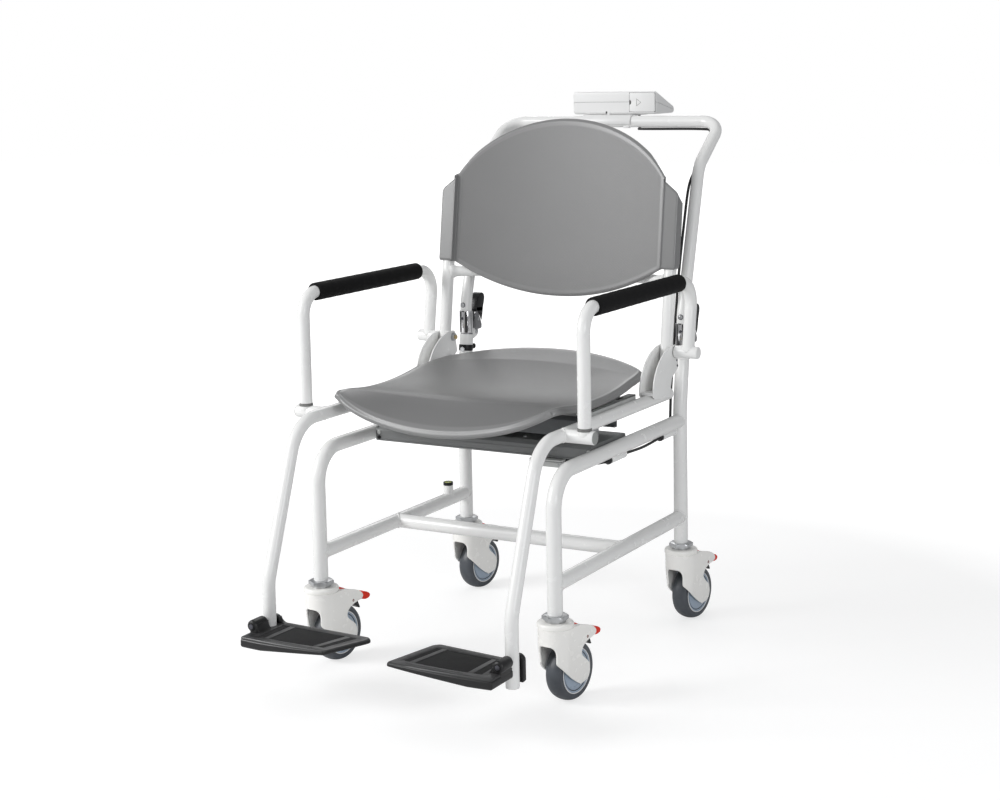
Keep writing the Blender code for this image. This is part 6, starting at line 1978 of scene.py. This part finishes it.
def housingSkin():
    # One side of the housing over (height, reach q): on the barrel θ = q / w + 90°, behind it the flank
    # runs straight back and leans in by its taper
    breaks = [0.1052, 0.1050, 0.1049, 0.1047, 0.1044, 0.1036, 0.1028]
    heights = np.unique(np.concatenate([np.linspace(0.0287, 0.1308, 96), breaks]))[::-1]
    width = np.interp(heights, *np.array(casters["widths"]).T)
    front = np.interp(heights, *np.array(casters["front"]).T)
    rear = np.interp(heights, *np.array(casters["rear"]).T)
    above = heights > 0.1050
    front = np.where(above, -width * np.pi / 2, np.maximum(front, -width * np.pi / 2))
    share = np.linspace(0, 1, 49)
    reach = front[:, None] + (rear - front)[:, None] * share

    def sheet(inset):
        # One face of the wall: points at the width less the inset, round the nose and along the flank
        w = (width - inset)[:, None]
        angle = np.minimum(reach / width[:, None], 0)
        straight = np.maximum(reach, 0)
        x = w * np.cos(angle) - casters["taper"] * straight
        x[np.abs(x) < 1e-7] = 0
        rise = np.broadcast_to(heights[:, None], x.shape)
        return np.stack([x, w * np.sin(angle) + straight, rise], axis=-1)

    return shellSkin(sheet(0.0), sheet(casters["wall"]), 6, int(above.sum()) - 1)


def housingParts():
    # The caster housing: two mirrored flanks, a turned cap, and the barrel behind the cap
    c = casters
    skin = housingSkin()
    parts = [(skin, casterIvory), (moved(skin, lambda points: points * (-1, 1, 1)), casterIvory)]
    top, foot, groove, cap = c["capTop"], c["capFoot"], c["groove"], c["cap"]
    lean = np.radians(np.linspace(90, 0, 7))
    edge = [(cap - 0.0034 + 0.0034 * math.cos(a), top - 0.0034 + 0.0034 * math.sin(a)) for a in lean]
    profile = [
        (0, top), (0.012, top), (0.019, top - 0.0002), *edge, (cap, groove + 0.0006),
        (cap - 0.0016, groove - 0.0002), (cap - 0.0040, groove - 0.0002), (cap - 0.0042, foot), (0, foot),
    ]
    parts.append((turned(profile, (0, 0, 0), sides=96), casterIvory))
    # A dark filler inside the barrel, painted shade where the opening's inside lies in shadow
    parts.append((disc(0.0252, 0.1040, 0.1290, (0, 0, 0), sides=64), casterShade))
    # The barrel's back, between the ears, and the roof over the wheel, in the dark finish that is painted
    # shade inside the housing
    back = rectangle(0.0140, 0.1060, 0.0284, 0.1300, 0.001)
    parts.append((turned(back, (0, 0, 0), sides=96, closed=True), casterShade))
    roof = flowing(
        [
            (-0.0150, 0.1180), (-0.0140, 0.1070), (0.0000, 0.1052), (0.0240, 0.1050), (0.0330, 0.1080),
            (0.0300, 0.1160),
        ],
        4,
        True,
    )
    parts.append((slab(roof, -0.0195, 0.0195, "X", 0.0004), casterShade))
    ear = flowing(c["ear"], 4, True)
    hub = (0, c["trail"], c["hubHeight"])
    for sign in (-1, 1):
        block = slab(ear, 0.0090, 0.0245, "X", 0.0018, 4)
        parts.append((moved(block, lambda points: points * (sign, 1, 1)), casterIvory))
        parts.append((screwHead((sign * 0.0266, 0.0515, 0.1062), (sign, 0, 0), 0.0027, 0.0012), rivetRed))
        parts.append((disc(0.0046, 0.0165, 0.0212, hub, (sign, 0, 0), 0.0006), casterIvory))
    parts.append((disc(0.004, -0.0185, 0.0185, hub, acrossAxis, 0.0005, 28), zinc))
    parts.append((disc(0.002, -0.0185, 0.0185, (0, *c["pedalPin"]), acrossAxis, 0.0004, 20), zinc))
    return parts


def wheelParts():
    # The wheel: turned profiles of tyre, rim and hub round the axle
    half, radius = casters["wheelWidth"] / 2, casters["wheel"]
    hub = (0, casters["trail"], casters["hubHeight"])
    crown = np.radians(np.linspace(-60, 60, 17))
    tread = np.stack(
        [
            radius - 0.0040 + 0.0040 * (np.cos(crown) - math.cos(crown[0])) / (1 - math.cos(crown[0])),
            (half - 0.0012) * np.sin(crown) / math.sin(crown[-1]),
        ],
        axis=1,
    )
    side = [
        (0.0372, half - 0.0030), (0.0379, half - 0.0008), (0.0392, half), (0.0430, half - 0.0001),
        (0.0452, half - 0.0006),
    ]
    profile = np.concatenate([np.array(side) * (1, -1), tread, side[::-1]])
    parts = [(turned(profile, hub, acrossAxis, 96, True), tyreRubber)]
    rim = [
        (0.0045, -0.0118), (0.0300, -0.0118), (0.0325, -0.0132), (0.0340, -0.0144), (0.0364, -0.0142),
        (0.0374, -0.0116),
    ]
    rim = rim + [(r, -h) for r, h in reversed(rim)]
    parts.append((turned(rim, hub, acrossAxis, 80, True), hubPlastic))
    for sign in (-1, 1):
        for low, high, foot, head, finish in (
            (0.0363, 0.0378, 0.0130, 0.0152, caseWhite), (0.0322, 0.0333, 0.0120, 0.0140, seamShadow)
        ):
            ring = rectangle(low, foot, high, head, 0.0005, 30)
            parts.append((turned(ring, hub, (sign, 0, 0), 80, True), finish))
        cover = bend(
            [
                (0.0046, 0.0110), (0.0046, 0.0148), (0.0120, 0.0153), (0.0250, 0.0150), (0.0321, 0.0138),
                (0.0321, 0.0110),
            ],
            [0.0004, 0.004, 0.010, 0.0012], 15,
        )
        parts.append((turned(cover, hub, (sign, 0, 0), 80, True), hubPlastic))
    return parts


def brakeParts():
    # The brake: the flowing outline of the pedal drawn out to its width, and the shoe
    half = casters["pedalHalf"]
    pedal = flowing(casters["pedal"], 4, True)
    shoe = roundOutline(casters["shoe"], 0.0012, 20)
    return [
        (slab(pedal, -half, half, "X", 0.0016, 4), pedalRed),
        (slab(shoe, -0.0078, 0.0078, "X", 0.0010), blackPlastic),
    ]


def makeCasters():
    # The casters: each part turned by the common swivel angle and set at the four stems
    yaw = math.radians(casters["yaw"])
    turn = np.array([[math.cos(yaw), -math.sin(yaw), 0], [math.sin(yaw), math.cos(yaw), 0], [0, 0, 1]])
    groups = (
        ("caster", "swivel", "caster_plastic", housingParts()),
        ("wheel", "wheel", "tread_rubber", wheelParts()),
        ("brake", "brake", "pedal_plastic", brakeParts()),
    )
    for end, along in (("front", 0.0), ("rear", base["wheelBase"])):
        for side, sign in (("left", 1), ("right", -1)):
            stem = np.array([sign * base["legX"], along, 0])
            for word, body, slotName, parts in groups:
                piece = Piece(f"{word}_{end}_{side}", f"{body}_{end}_{side}", slotName)
                for surface, finish in parts:
                    piece.add(moved(surface, lambda points: points @ turn.T + stem), finish)
                piece.build(32)


makeCasters()
print("casters built")

print("scene ready")
